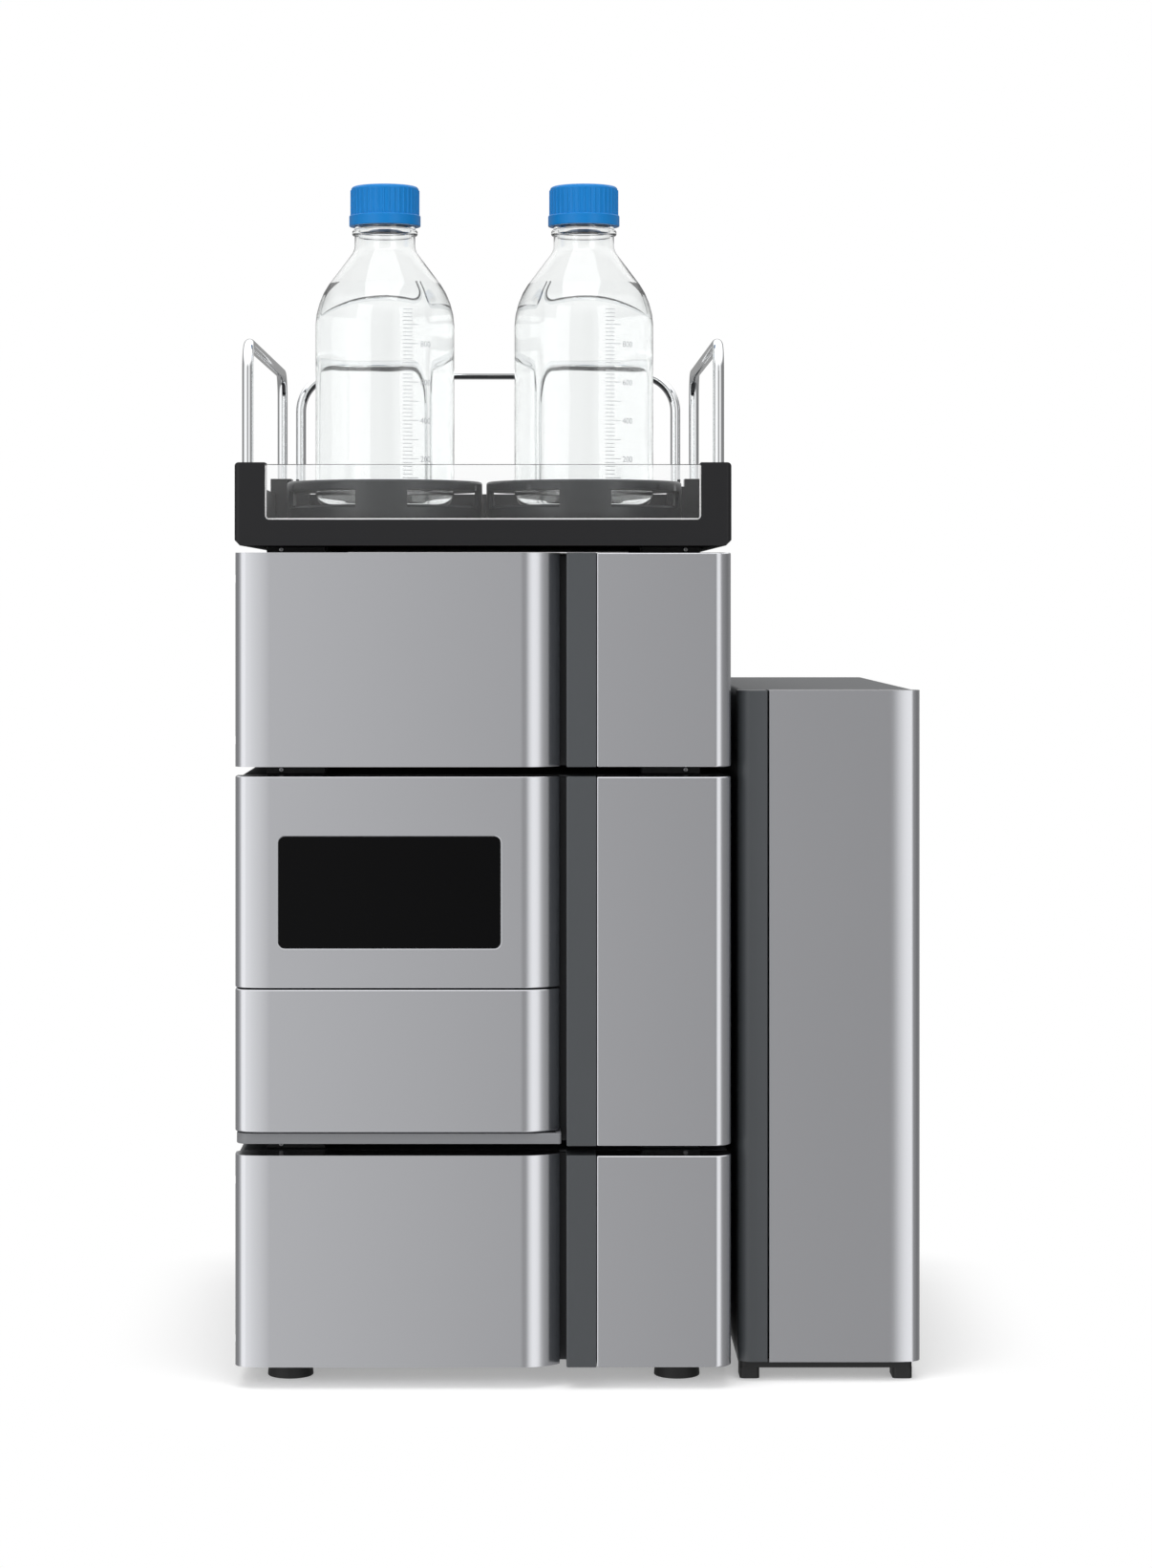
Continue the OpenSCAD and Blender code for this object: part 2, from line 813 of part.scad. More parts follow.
// Lamp housing beside the cell, with cooling fins
module lamp_housing() {
    groove = [lamp[0] - 12, 3.6, 7];
    half = (lamp_fins - 1) / 2;
    color(charcoal) in_stack(detector_z) translate([opening_r - 6 - lamp[0] / 2, back_y - liner_t, cell_z])
        rotate([90, 0, 0]) difference() {
            translate([-lamp[0] / 2, -lamp[1] / 2, 0]) cube(lamp);
            for (i = [-half : half]) {
                translate([-groove[0] / 2, i * lamp_fin_pitch - groove[1] / 2, lamp[2] - groove[2]])
                    cube(groove + [0, 0, over]);
            }
        }
}

/* ---------- sampler ---------- */

sleeve_z0 = drawer_z - sampler_z + 3;
sleeve_z1 = sleeve_z0 + drawer_front_h - 8;
sleeve_d = drawer_d + 30;
drawer_x = (opening_l + opening_r) / 2;
drawer_y0 = shell_d;
drawer_floor_z = drawer_z + 10;
rail_h = 8;
rail_w = (opening_r - opening_l - drawer_w) / 2 - drawer_t - drawer_play;

module sampler_cover() {
    color(charcoal) in_stack(sampler_z) wrap_cover(sampler_h);
}

module sampler_chassis() {
    color(charcoal) in_stack(sampler_z) chassis(sampler_h);
}

// Front plate and the sleeve that the drawer runs in, with a rail on each side
module drawer_compartment() {
    color(near_black) in_stack(sampler_z) {
        compartment(sampler_h, sleeve_z0, sleeve_z1, sleeve_d);
        rail_z0 = drawer_floor_z - sampler_z + drawer_h / 2;
        for (s = [-1, 1]) {
            wall_x = s < 0 ? opening_l : opening_r - rail_w;
            // A rail is a ledge under the drawer's runner and a guide above it
            for (z = [rail_z0 - drawer_play - rail_h, rail_z0 + rail_h + drawer_play]) {
                box([wall_x, liner_y, z], [wall_x + rail_w, liner_y + sleeve_d - liner_t, z + rail_h]);
            }
        }
    }
}

module sampler_panel() {
    h = sampler_z + sampler_h - panel_z;
    screen_x = -half_w + screen_left;
    screen_z = h - screen_drop - screen_h;
    color(silver) in_stack(panel_z) difference() {
        front_shell(h);
        along_y(-over, screen_t) translate([screen_x, screen_z])
            rounded_rect([0, 0], [screen_w, screen_h], screen_r * [1, 1, 1, 1]);
    }
}

module sampler_screen() {
    h = sampler_z + sampler_h - panel_z;
    edge = 0.15;
    color([0.02, 0.02, 0.02]) in_stack(panel_z) along_y(0.1, screen_t)
        translate([-half_w + screen_left, h - screen_drop - screen_h])
        rounded_rect([edge, edge], [screen_w - edge, screen_h - edge], (screen_r - edge) * [1, 1, 1, 1]);
}

module sampler_sill() {
    color([0.45, 0.46, 0.47]) in_stack(sill_z) linear_extrude(sill_h) difference() {
        rounded_rect([-half_w + 1, 3], [flank_x + 1, shell_d], [corner_r - 1, 2, 0, 0]);
        translate([-half_w + 5, 7]) square([flank_x + half_w - 8, shell_d]);
    }
}

module sampler_pillar() {
    color(charcoal) in_stack(sampler_z) pillar(sampler_h);
}

module sampler_fascia() {
    color(silver) in_stack(sampler_z) fascia(sampler_h);
}

module drawer_front() {
    color(silver) in_stack(drawer_z) front_shell(drawer_front_h);
}

// Open tray behind the drawer front, with a runner on each side
module drawer_tray() {
    outer_w = drawer_w + 2 * drawer_t;
    outer_d = drawer_d + 2 * drawer_t;
    y0 = shell_t;
    nose_r = flat_x - drawer_x - slit;
    nose_rib = 4;
    color(charcoal) in_stack(drawer_floor_z) translate([drawer_x, 0, 0]) {
        difference() {
            union() {
                box([-outer_w / 2, shell_d, 0], [outer_w / 2, y0 + shell_d + outer_d, drawer_h]);
                box([-outer_w / 2, y0, 0], [nose_r, y0 + shell_d, drawer_h]);
            }
            box([-drawer_w / 2, y0 + shell_d + drawer_t, drawer_t],
                [drawer_w / 2, y0 + shell_d + drawer_t + drawer_d, drawer_h + over]);
            // The nose that reaches into the hollow drawer front is lightened
            box([-outer_w / 2 + nose_rib, y0 + nose_rib, drawer_t],
                [nose_r - nose_rib, y0 + shell_d - nose_rib, drawer_h + over]);
        }
        mirrored_pair() box([outer_w / 2 - 0.01, liner_y + 2, drawer_h / 2],
            [outer_w / 2 + rail_w - drawer_play, y0 + shell_d + outer_d, drawer_h / 2 + rail_h]);
    }
}

rack_gap = 4;
rack_w = (drawer_w - 3 * rack_gap) / 2;
rack_d = (rack_rows + 0.4) * vial_pitch;
rack_y = shell_t + shell_d + drawer_t + rack_gap;
rack_base = 4;

// Middles of the vials in one rack, from the rack's front middle
vial_spots = [
    for (col = [0 : rack_cols - 1], row = [0 : rack_rows - 1])
        [(col - (rack_cols - 1) / 2) * vial_pitch, (row + 0.7) * vial_pitch]
];

module at_racks() {
    in_stack(drawer_floor_z + drawer_t) for (s = [-1, 1]) {
        translate([drawer_x + s * (rack_w + rack_gap) / 2, rack_y, 0]) children();
    }
}

module vial_racks() {
    color([0.5, 0.52, 0.54]) at_racks() difference() {
        linear_extrude(rack_h) rounded_rect([-rack_w / 2, 0], [rack_w / 2, rack_d], [3, 3, 3, 3]);
        for (spot = vial_spots) {
            translate([spot[0], spot[1], rack_base]) cylinder(d = vial_dia + 0.6, h = rack_h);
        }
    }
}

module vials() {
    crimp_h = 6;
    color(clear) at_racks() for (spot = vial_spots) {
        translate([spot[0], spot[1], rack_base]) rotate_extrude() polygon([
            [0, 0], [vial_dia / 2, 0], [vial_dia / 2, vial_h - crimp_h - 4],
            [vial_dia / 2 - 2, vial_h - crimp_h - 1], [vial_dia / 2 - 2, vial_h - crimp_h],
            [vial_dia / 2 - 0.5, vial_h - crimp_h], [vial_dia / 2 - 0.5, vial_h], [0, vial_h]
        ]);
    }
}

/* ---------- solvent tray ---------- */

// Front of the tray: a bar between two posts, drawn in x and z from the tray's underside
module tray_front_profile() {
    chamfer = 4;
    window_half = tray_half - post_w;
    difference() {
        rounded_rect([-tray_half, 0], [tray_half, post_h], [0, 0, 3, 3]);
        rounded_rect([-window_half, bar_h], [window_half, post_h + over], [3, 3, 0, 0]);
        for (s = [-1, 1]) {
            polygon([
                [s * (tray_half + over), -over], [s * (tray_half - chamfer - 1), -over],
                [s * (tray_half - chamfer), 0], [s * (tray_half + over), chamfer + over]
            ]);
        }
    }
}

module tray_frame() {
    color(near_black) in_stack(tray_z) difference() {
        intersection() {
            linear_extrude(post_h)
                rounded_rect([-tray_half, 0], [tray_half, tray_d], [4, 4, 8, 8]);
            union() {
                along_y(0, post_d) tray_front_profile();
                intersection() {
                    along_y(0, tray_d) tray_front_profile();
                    box([-tray_half, 0, 0], [tray_half, tray_d, tray_wall_h]);
                    difference() {
                        box([-tray_half, 0, 0], [tray_half, tray_d, post_h]);
                        box([-tray_half + tray_wall, post_d, tray_floor],
                            [tray_half - tray_wall, tray_d + over, post_h + over]);
                    }
                }
                box([-tray_half + tray_wall, tray_d - tray_wall, 0],
                    [tray_half - tray_wall, tray_d, tray_wall_h]);
                // Rear posts and the bosses that hold the rear rail
                mirrored_pair() {
                    box([side_rail_x - rod_dia, rear_post_y, tray_floor - 0.01],
                        [tray_half, tray_d, post_h]);
                    box([rear_rail_x - rod_dia / 2 - 3, rear_post_y, tray_floor - 0.01],
                        [side_rail_x, tray_d, post_h - 6]);
                }
            }
        }
        // The front is hollow behind its bar and posts
        box([-tray_half + post_w, window_t + 8, tray_floor], [tray_half - post_w, post_d + over, post_h + over]);
        // Slot that the window drops into
        box([-tray_half + post_w - 4 - slit, 4, bar_h - 6], [tray_half - post_w + 4 + slit, 4 + window_t, post_h + over]);
        // Sockets of the rails
        mirrored_pair() {
            for (y = [rod_y, rear_rod_y]) {
                translate([side_rail_x, y, post_h - socket_d]) cylinder(d = rod_dia, h = socket_d + over);
            }
            translate([rear_rail_x, rear_rod_y, post_h - socket_d]) cylinder(d = rod_dia, h = socket_d + over);
        }
    }
}

module tray_window() {
    edge = tray_half - post_w + 4;
    color(clear) in_stack(tray_z) box([-edge, 4, bar_h - 6], [edge, 4 + window_t, post_h - 1.2]);
}

// Inverted U of rod in the x and z plane: span between leg middles, legs from z0 to the top at z1
module rod_arch(span, z0, z1, r) {
    mirrored_pair() translate([-span / 2, 0, 0]) {
        translate([0, 0, z0]) cylinder(d = rod_dia, h = z1 - r - z0);
        translate([r, 0, z1 - r]) rotate([90, 0, 0]) rotate([0, 0, 90])
            rotate_extrude(angle = 90) translate([r, 0]) circle(d = rod_dia);
    }
    translate([-span / 2 + r, 0, z1]) rotate([0, 90, 0]) cylinder(d = rod_dia, h = span - 2 * r);
}

module side_rail(x) {
    color(steel) in_stack(0) translate([x, (rod_y + rear_rod_y) / 2, 0]) rotate(90)
        rod_arch(rear_rod_y - rod_y, post_top - socket_d, rail_z, side_bend);
}

module left_guard_rail() {
    side_rail(-side_rail_x);
}

module right_guard_rail() {
    side_rail(side_rail_x);
}

module rear_guard_rail() {
    color(steel) in_stack(0) translate([0, rear_rod_y, 0])
        rod_arch(2 * rear_rail_x, post_top - socket_d, rail_z, rear_bend);
}

/* ---------- bottles ---------- */

module at_bottle(side, z) {
    in_stack(z) translate([side * bottle_pitch / 2, bottle_depth, 0]) children();
}

// Ring on the tray: tapered drum, raised seat, four windows and a wide rim
module bottle_holder(side) {
    r = holder_dia / 2;
    wall = 3;
    rim_h = 7;
    window_z = seat_h - 2;
    color(near_black) at_bottle(side, floor_z) difference() {
        rotate_extrude() {
            polygon([
                [r - wall - 2, 0], [r - 2, 0], [r, 14], [r, holder_h - rim_h + 0.01],
                [r - wall, holder_h - rim_h + 0.01], [r - wall, 14]
            ]);
            translate([0, seat_h - 4]) square([r - wall + 0.5, 4]);
            translate([bottle_r + 1.6, 0]) rounded_rect([0, holder_h - rim_h],
                [r - bottle_r - 1.6, holder_h], [0, 0, 2, 1]);
        }
        for (i = [0 : 3]) {
            rotate(i * 90 - 90 + 15) translate([0, 0, window_z])
                rotate_extrude(angle = 60) translate([r - wall - 1, 0]) square([wall + 2, holder_h - rim_h - window_z]);
        }
    }
}

module left_bottle_holder() {
    bottle_holder(-1);
}

module right_bottle_holder() {
    bottle_holder(1);
}

// Half section of the bottle in radius and height, set in from the glass by inset
module bottle_section(inset) {
    theta = shoulder_angle;
    base_r = 9;
    fillet_z = bottle_h - bead_drop - 7;
    slope_l = (shoulder_x + (shoulder_r + neck_fillet) * cos(theta) - fillet_x) / sin(theta);
    slope_end_z = fillet_z - neck_fillet * sin(theta);
    shoulder_z = slope_end_z - slope_l * cos(theta) - shoulder_r * sin(theta);
    slope_low = [shoulder_x, shoulder_z] + (shoulder_r - inset) * [cos(theta), sin(theta)];
    slope_high = [fillet_x, fillet_z] - (neck_fillet + inset) * [cos(theta), sin(theta)];
    below = slope_low + 4 * [sin(theta), -cos(theta)];
    far = bottle_r + over;
    difference() {
        rounded_rect([0, inset], [bottle_r - inset, bottle_h], [0, base_r - inset, 0, 0]);
        // Outside the shoulder
        translate([shoulder_x, shoulder_z]) difference() {
            square([shoulder_r + over, slope_low[1] - shoulder_z]);
            circle(shoulder_r - inset);
        }
        // Outside the slope, the fillet and the neck
        polygon([below, slope_high, [fillet_x, fillet_z], [far, fillet_z], [far, below[1]]]);
        translate([fillet_x, fillet_z]) circle(neck_fillet + inset);
        translate([neck_r - inset, fillet_z]) square([far, bottle_h]);
    }
}

module bottle(side) {
    base_t = 4;
    color(clear) at_bottle(side, bottle_z) rotate_extrude() {
        difference() {
            union() {
                bottle_section(0);
                translate([neck_r - 1, bottle_h - bead_drop])
                    rounded_rect([0, 0], [2.8, bead_h], [0, 1.5, 1.5, 0]);
            }
            intersection() {
                bottle_section(glass_t);
                translate([0, base_t]) square([bottle_r, bottle_h]);
            }
            // The mouth is open, and the middle of the base is raised
            translate([0, bottle_h - 5]) square([neck_r - glass_t, 5 + over]);
            translate([0, -over]) square([bottle_r - 16, over + 1.2]);
        }
    }
}

module left_bottle() {
    bottle(-1);
}

module right_bottle() {
    bottle(1);
}

module cap_seal(side) {
    color(white) at_bottle(side, bottle_top) cylinder(r = neck_r + 0.3, h = seal_t);
}

// Screw cap: ribbed above, with a smooth wider band round its skirt
module cap(side) {
    band_h = 8;
    rib_r = 0.9;
    skirt = bottle_top + seal_t - cap_z + 0.01;
    color(blue) at_bottle(side, cap_z) difference() {
        union() {
            rotate_extrude() {
                rounded_rect([0, 0], [cap_r + 1.4, band_h], [0, 0.6, 1, 0]);
                rounded_rect([0, band_h - 1], [cap_r, cap_h], [0, 0, 2.5, 0]);
            }
            translate([0, 0, band_h - 1]) linear_extrude(cap_h - band_h - 1.8)
                for (i = [0 : cap_ribs - 1]) {
                    rotate(i * 360 / cap_ribs) translate([cap_r - 0.3, 0]) circle(rib_r, $fn = 16);
                }
        }
        translate([0, 0, -over]) cylinder(r = neck_r + cap_play, h = skirt + over);
    }
}

module left_cap() {
    cap(-1);
}

module right_cap() {
    cap(1);
}

module left_cap_seal() {
    cap_seal(-1);
}

module right_cap_seal() {
    cap_seal(1);
}

/* ---------- feet and hinge pins ---------- */

foot_in = 36.5;
pad = [42, 34];

module foot_pads(z, h) {
    in_stack(z) for (s = [-1, 1], y = [pad_front, module_d - pad_rear]) {
        translate([s * (half_w - foot_in - pad[0] / 2 + 16) - pad[0] / 2, y, 0]) cube([pad[0], pad[1], h]);
    }
}

// Round feet under the stack, and the flat pads between the units
module module_feet() {
    color(near_black) {
        in_stack(0) for (s = [-1, 1], y = [foot_front, module_d - foot_rear]) {
            translate([s * (half_w - foot_in), y, 0]) cylinder(d1 = foot_dia, d2 = foot_dia - 3, h = foot_h);
        }
        foot_pads(detector_z + detector_h, module_gap);
        foot_pads(sampler_z + sampler_h, module_gap);
        foot_pads(pump_top, tray_gap);
    }
}

module hinge_pins() {
    color(steel) {
        in_stack(pump_z) translate([hinge_x, hinge_y, 0]) pins_at(pump_h);
        in_stack(detector_z) translate([hinge_x, hinge_y, 0]) pins_at(detector_h);
        in_oven(oven_z) translate([oven_hinge_x, hinge_y, 0]) pins_at(body_h);
    }
}

/* ---------- column oven ---------- */

// Cabinet: a closed wrap with the column chamber let into its front
module oven_cabinet() {
    color(charcoal) in_oven(oven_z) {
        difference() {
            union() {
                along_y(case_y, oven_d) difference() {
                    rounded_rect([-oven_half, 0], [oven_half, body_h], [2, 2, 5, 5]);
                    rounded_rect([-oven_half + oven_cover_t, oven_cover_t],
                        [oven_half - oven_cover_t, body_h - oven_cover_t], [1, 1, 3, 3]);
                }
                along_y(case_y, liner_y) rounded_rect([-oven_half + 1, 1], [oven_half - 1, body_h - 1], [1, 1, 4, 4]);
                box([chamber_l - liner_t, liner_y - 0.01, chamber_margin - liner_t],
                    [chamber_r + liner_t, chamber_y + liner_t, body_h - chamber_margin + liner_t]);
            }
            box([chamber_l, case_y - over, chamber_margin], [chamber_r, chamber_y, body_h - chamber_margin]);
        }
        translate([oven_hinge_x, hinge_y, 0]) hinge_tabs(body_h, case_y - hinge_y + 0.5);
    }
}

module oven_rear_panel() {
    rear_y = oven_d - rear_inset;
    edge_x = oven_half - oven_cover_t - slit;
    color(charcoal) in_oven(oven_z) difference() {
        box([-edge_x, rear_y - chassis_t, oven_cover_t + slit + 2], [edge_x, rear_y, body_h - oven_cover_t - slit - 2]);
        translate([0, rear_y - chassis_t, body_h * 0.62]) fan_slots(fan_count, fan_pitch, fan_dia);
        translate([oven_inlet_x - inlet_w / 2 + 2, rear_y - chassis_t - over, inlet_lift + 2])
            cube([inlet_w - 4, chassis_t + 2 * over, inlet_h - 4]);
        translate([oven_port_x - port[0] / 2 + 2, rear_y - chassis_t - over, inlet_lift + 2])
            cube([port[0] - 4, chassis_t + 2 * over, port[1] - 4]);
    }
}

// Fixed dark strip at the left of the door, with a rounded outer corner
module oven_pillar() {
    low = [-oven_half, 0];
    high = [oven_pillar_x - slit, shell_d];
    color(charcoal) in_oven(oven_z) {
        linear_extrude(body_h) difference() {
            rounded_rect(low, high, [oven_r, 0, 0, 0]);
            rounded_rect(low + [shell_t, shell_t], high + [-shell_t, over], [oven_r - shell_t, 0, 0, 0]);
        }
        for (z = [0, body_h - shell_t]) {
            translate([0, 0, z]) linear_extrude(shell_t) rounded_rect(low, high, [oven_r, 0, 0, 0]);
        }
    }
}

module oven_door_plan(inset) {
    left = oven_pillar_x + door_slit;
    difference() {
        translate([left + inset, inset])
            square([oven_half - left - 2 * inset, shell_d - inset + (inset > 0 ? over : 0)]);
        translate([oven_half, 0]) mirror([1, 0]) soft_corner_waste(oven_r, inset);
    }
}

module oven_door() {
    color(silver) in_oven(oven_z) difference() {
        union() {
            difference() {
                union() {
                    linear_extrude(body_h) difference() {
                        oven_door_plan(0);
                        oven_door_plan(shell_t);
                    }
                    for (z = [0, body_h - shell_t]) {
                        translate([0, 0, z]) linear_extrude(shell_t) oven_door_plan(0);
                    }
                    // Inner panel that presses on the gasket
                    box([oven_pillar_x + door_slit, case_y - gasket_t - slit - 2, 0],
                        [oven_hinge_x, case_y - gasket_t - slit, body_h]);
                }
                translate([oven_hinge_x, hinge_y, -over]) cube([barrel_r + over, barrel_r + over, body_h + 2 * over]);
            }
            translate([oven_hinge_x, hinge_y, 0]) cylinder(r = barrel_r, h = body_h);
        }
        translate([oven_hinge_x, hinge_y, 0]) hinge_cuts(body_h);
    }
}

// Soft frame on the cabinet's front that the door closes on
module oven_gasket() {
    w = gasket_w;
    low = [chamber_l, chamber_margin];
    high = [chamber_r, body_h - chamber_margin];
    color(near_black) in_oven(oven_z) along_y(case_y - gasket_t, case_y) difference() {
        rounded_rect(low - [w, w], high + [w, w], (w + 1) * [1, 1, 1, 1]);
        translate(low) square(high - low);
    }
}

// Finned aluminium plate on the back of the chamber
module heater_plate() {
    edge = 3;
    color(steel) in_oven(oven_z) difference() {
        box([chamber_l + edge, chamber_y - heater_t, chamber_margin + edge],
            [chamber_r - edge, chamber_y, body_h - chamber_margin - edge]);
        for (x = [chamber_l + edge + 8 : 8 : chamber_r - edge - 8]) {
            if (abs(x - column_x) > 9)
                box([x - 2, chamber_y - heater_t - over, chamber_margin - over],
                    [x + 2, chamber_y - 4, body_h - chamber_margin + over]);
        }
    }
}

// Separating column: tube, end fittings and the nuts on them
module column() {
    fit_r = column_r + 3.5;
    fit_z = nut_l + fitting_l;
    tip = nut_l / 2;
    color(steel) in_oven(0) translate([column_x, column_y, column_z]) rotate_extrude() {
        polygon([
            [0, 0], [2.2, 0], [2.2, tip], [4, tip], [4, nut_l], [fit_r, nut_l], [fit_r, fit_z],
            [column_r, fit_z], [column_r, column_l - fit_z], [fit_r, column_l - fit_z],
            [fit_r, column_l - nut_l], [4, column_l - nut_l], [4, column_l - tip],
            [2.2, column_l - tip], [2.2, column_l], [0, column_l]
        ]);
    }
}

// Two spring clips that hold the column on the heater plate
module column_clips() {
    wall = 2;
    plate_y = chamber_y - heater_t;
    color(near_black) for (z = [column_z + clip_inset, column_z + column_l - clip_inset - clip_h]) {
        in_oven(z) translate([column_x, 0, 0]) linear_extrude(clip_h) difference() {
            union() {
                translate([0, column_y]) circle(column_r + wall);
                translate([-3.5, column_y + column_r]) square([7, plate_y - column_y - column_r]);
            }
            translate([0, column_y]) circle(column_r);
            translate([-column_r * 0.8, column_y - column_r - wall - over]) square([column_r * 1.6, column_r + wall]);
        }
    }
}

// Black base with a foot block at each corner
module oven_plinth() {
    inset = 5;
    foot = [14, 24];
    base_h = plinth_h * 0.45;
    color(near_black) in_oven(0) {
        translate([0, 0, plinth_h - base_h]) linear_extrude(base_h)
            rounded_rect([-oven_half + 2, 12], [oven_half - inset, oven_d - 12], [4, 4, 4, 4]);
        for (x = [-oven_half + 2, oven_half - inset - foot[0]], y = [12, oven_d - 12 - foot[1]]) {
            translate([x, y, 0]) linear_extrude(plinth_h - base_h + 0.01)
                rounded_rect([0, 0], foot, [3, 3, 3, 3]);
        }
    }
}

tray_frame();
tray_window();
left_guard_rail();
right_guard_rail();
rear_guard_rail();
left_bottle_holder();
right_bottle_holder();
left_bottle();
right_bottle();
left_cap();
right_cap();
left_cap_seal();
right_cap_seal();
pump_cover();
pump_chassis();
pump_compartment();
pump_door();
pump_pillar();
pump_fascia();
pump_heads();
check_valves();
purge_valve();
purge_knob();
pump_switch();
sampler_cover();
sampler_chassis();
drawer_compartment();
sampler_panel();
sampler_screen();
sampler_sill();
sampler_pillar();
sampler_fascia();
drawer_front();
drawer_tray();
vial_racks();
vials();
sampler_switch();
detector_cover();
detector_chassis();
detector_compartment();
detector_door();
detector_pillar();
detector_fascia();
flow_cell();
lamp_housing();
detector_switch();
leak_trays();
hinge_pins();
module_feet();
rear_sockets();
oven_cabinet();
oven_rear_panel();
oven_pillar();
oven_door();
oven_gasket();
heater_plate();
column();
column_clips();
oven_plinth();
oven_switch();
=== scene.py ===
# %% [markdown]
# # A liquid chromatography stack in Blender
#
# Three instrument modules stand on each other: a detector below, a sampler in the
# middle and a pump on top. A black tray on the pump holds two solvent bottles, and a
# column oven stands beside the stack. The construction comes from CAD as a fixed frame.
# This lesson dresses it: it rounds the edges, makes the glass, the liquid, the caps and
# the small fittings, and gives each surface its finish.

import json
import math

import bmesh
import bpy
from mathutils import Matrix, Vector

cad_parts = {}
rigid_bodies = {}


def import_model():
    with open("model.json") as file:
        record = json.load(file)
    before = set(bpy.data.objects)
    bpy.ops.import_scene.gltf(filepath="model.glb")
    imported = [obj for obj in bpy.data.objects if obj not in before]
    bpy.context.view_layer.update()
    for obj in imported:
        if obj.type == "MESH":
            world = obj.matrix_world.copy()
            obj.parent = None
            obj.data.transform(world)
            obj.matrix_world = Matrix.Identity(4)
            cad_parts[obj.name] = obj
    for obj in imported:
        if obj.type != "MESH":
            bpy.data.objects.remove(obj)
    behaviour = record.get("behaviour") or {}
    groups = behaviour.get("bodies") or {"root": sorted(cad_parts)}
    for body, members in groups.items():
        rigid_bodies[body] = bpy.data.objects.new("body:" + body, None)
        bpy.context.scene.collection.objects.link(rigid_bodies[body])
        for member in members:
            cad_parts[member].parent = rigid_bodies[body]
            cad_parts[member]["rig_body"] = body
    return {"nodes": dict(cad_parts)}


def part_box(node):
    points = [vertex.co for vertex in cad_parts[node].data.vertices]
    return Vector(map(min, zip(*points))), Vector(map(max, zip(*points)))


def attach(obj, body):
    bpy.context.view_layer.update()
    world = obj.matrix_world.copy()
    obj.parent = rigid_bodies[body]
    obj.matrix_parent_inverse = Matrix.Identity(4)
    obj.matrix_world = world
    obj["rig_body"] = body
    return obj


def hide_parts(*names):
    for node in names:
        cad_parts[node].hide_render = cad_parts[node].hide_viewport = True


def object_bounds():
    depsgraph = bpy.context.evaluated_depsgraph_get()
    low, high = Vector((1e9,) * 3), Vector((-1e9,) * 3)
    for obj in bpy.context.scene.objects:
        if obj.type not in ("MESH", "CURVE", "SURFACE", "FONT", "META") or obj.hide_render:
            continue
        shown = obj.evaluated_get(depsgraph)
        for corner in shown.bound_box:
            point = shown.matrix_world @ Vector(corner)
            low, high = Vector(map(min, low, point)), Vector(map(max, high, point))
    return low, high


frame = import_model()
cad_low, cad_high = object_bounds()
MM = 0.001
print("frame size in mm:", [round(side / MM, 1) for side in cad_high - cad_low])

# %% [markdown]
# ## Camera
#
# The camera looks straight along +Y, a little below the top of the stack, so upright
# edges stay upright. A shift frames the object without tilting the view, as a technical
# camera does. The focal length comes from the scale wanted in the front plane.

# %% Camera
IMAGE_W, IMAGE_H = 1206, 1642
VANISHING_POINT = (548, 625)  # pixel that the lens axis passes through
CAMERA_PLACE = Vector((-0.0395, -2.720, 0.558))
FRONT_SCALE = 0.0006718  # metres that one pixel covers in the front plane
SENSOR = 36

front_distance = cad_low.y - CAMERA_PLACE.y
camera_data = bpy.data.cameras.new("camera")
camera_data.sensor_width = SENSOR
camera_data.lens = SENSOR * front_distance / (FRONT_SCALE * IMAGE_H)
camera_data.shift_x = (IMAGE_W / 2 - VANISHING_POINT[0]) / IMAGE_H
camera_data.shift_y = (VANISHING_POINT[1] - IMAGE_H / 2) / IMAGE_H
camera = bpy.data.objects.new("camera", camera_data)
camera.location = CAMERA_PLACE
camera.rotation_euler = (math.radians(90), 0, 0)
bpy.context.scene.collection.objects.link(camera)
bpy.context.scene.camera = camera
bpy.context.scene.view_settings.view_transform = "Standard"
print("lens in mm:", round(camera_data.lens, 1))

# %% [markdown]
# ## Studio
#
# Silver paint, chrome and glass show what stands round them more than they show their
# own colour. So the room is laid out as a photographer lays it out, by compass: a white
# backdrop behind, dim walls at both sides that draw the dark lines on chrome and glass,
# a tall soft box on each side of the lens, and a dim gap where the camera stands.
# The room could be built from lamps and cards. Here it is the sky, because a smooth sky
# reflects without noise. It answers each kind of ray by itself: rays from the camera see
# plain white, matt surfaces get an even grey, and mirrors and glass see the room.

# %% Room by compass
# Degrees from the direction of the camera, positive towards +X, and the grey level there
ROOM = [
    (-180, 0.34), (-125, 0.30), (-104, 0.30), (-80, 0.55), (-60, 1.25), (-33, 1.25), (-26, 1.1),
    (-20, 0.92), (-13, 0.82), (-5, 0.70), (1, 0.46), (5, 0.36), (12, 0.33), (19, 0.9),
    (25, 1.22), (39, 1.18), (50, 0.5), (62, 0.34), (104, 0.24), (125, 0.30), (180, 0.34),
]
CEILING = 1.5  # grey level overhead
CEILING_FROM, CEILING_FULL = 0.25, 0.55  # upward part of a direction, 1 being straight up
SIDE_WHITE = 0.65  # share of white that glass shows to the side and to the front
WHITE_FROM, WHITE_FULL = 0.15, 0.5  # rearward part of a direction, 1 being straight to the rear
ROOM_DIFFUSE = 0.55  # light that the room gives to matt surfaces


def add_node(tree, kind, inputs=None, **settings):
    """Adds a shader node, sets its properties, and fills or links its sockets."""
    node = tree.nodes.new(kind)
    for name, value in settings.items():
        setattr(node, name, value)
    for name, value in (inputs or {}).items():
        if isinstance(value, bpy.types.NodeSocket):
            tree.links.new(value, node.inputs[name])
        else:
            node.inputs[name].default_value = value
    return node


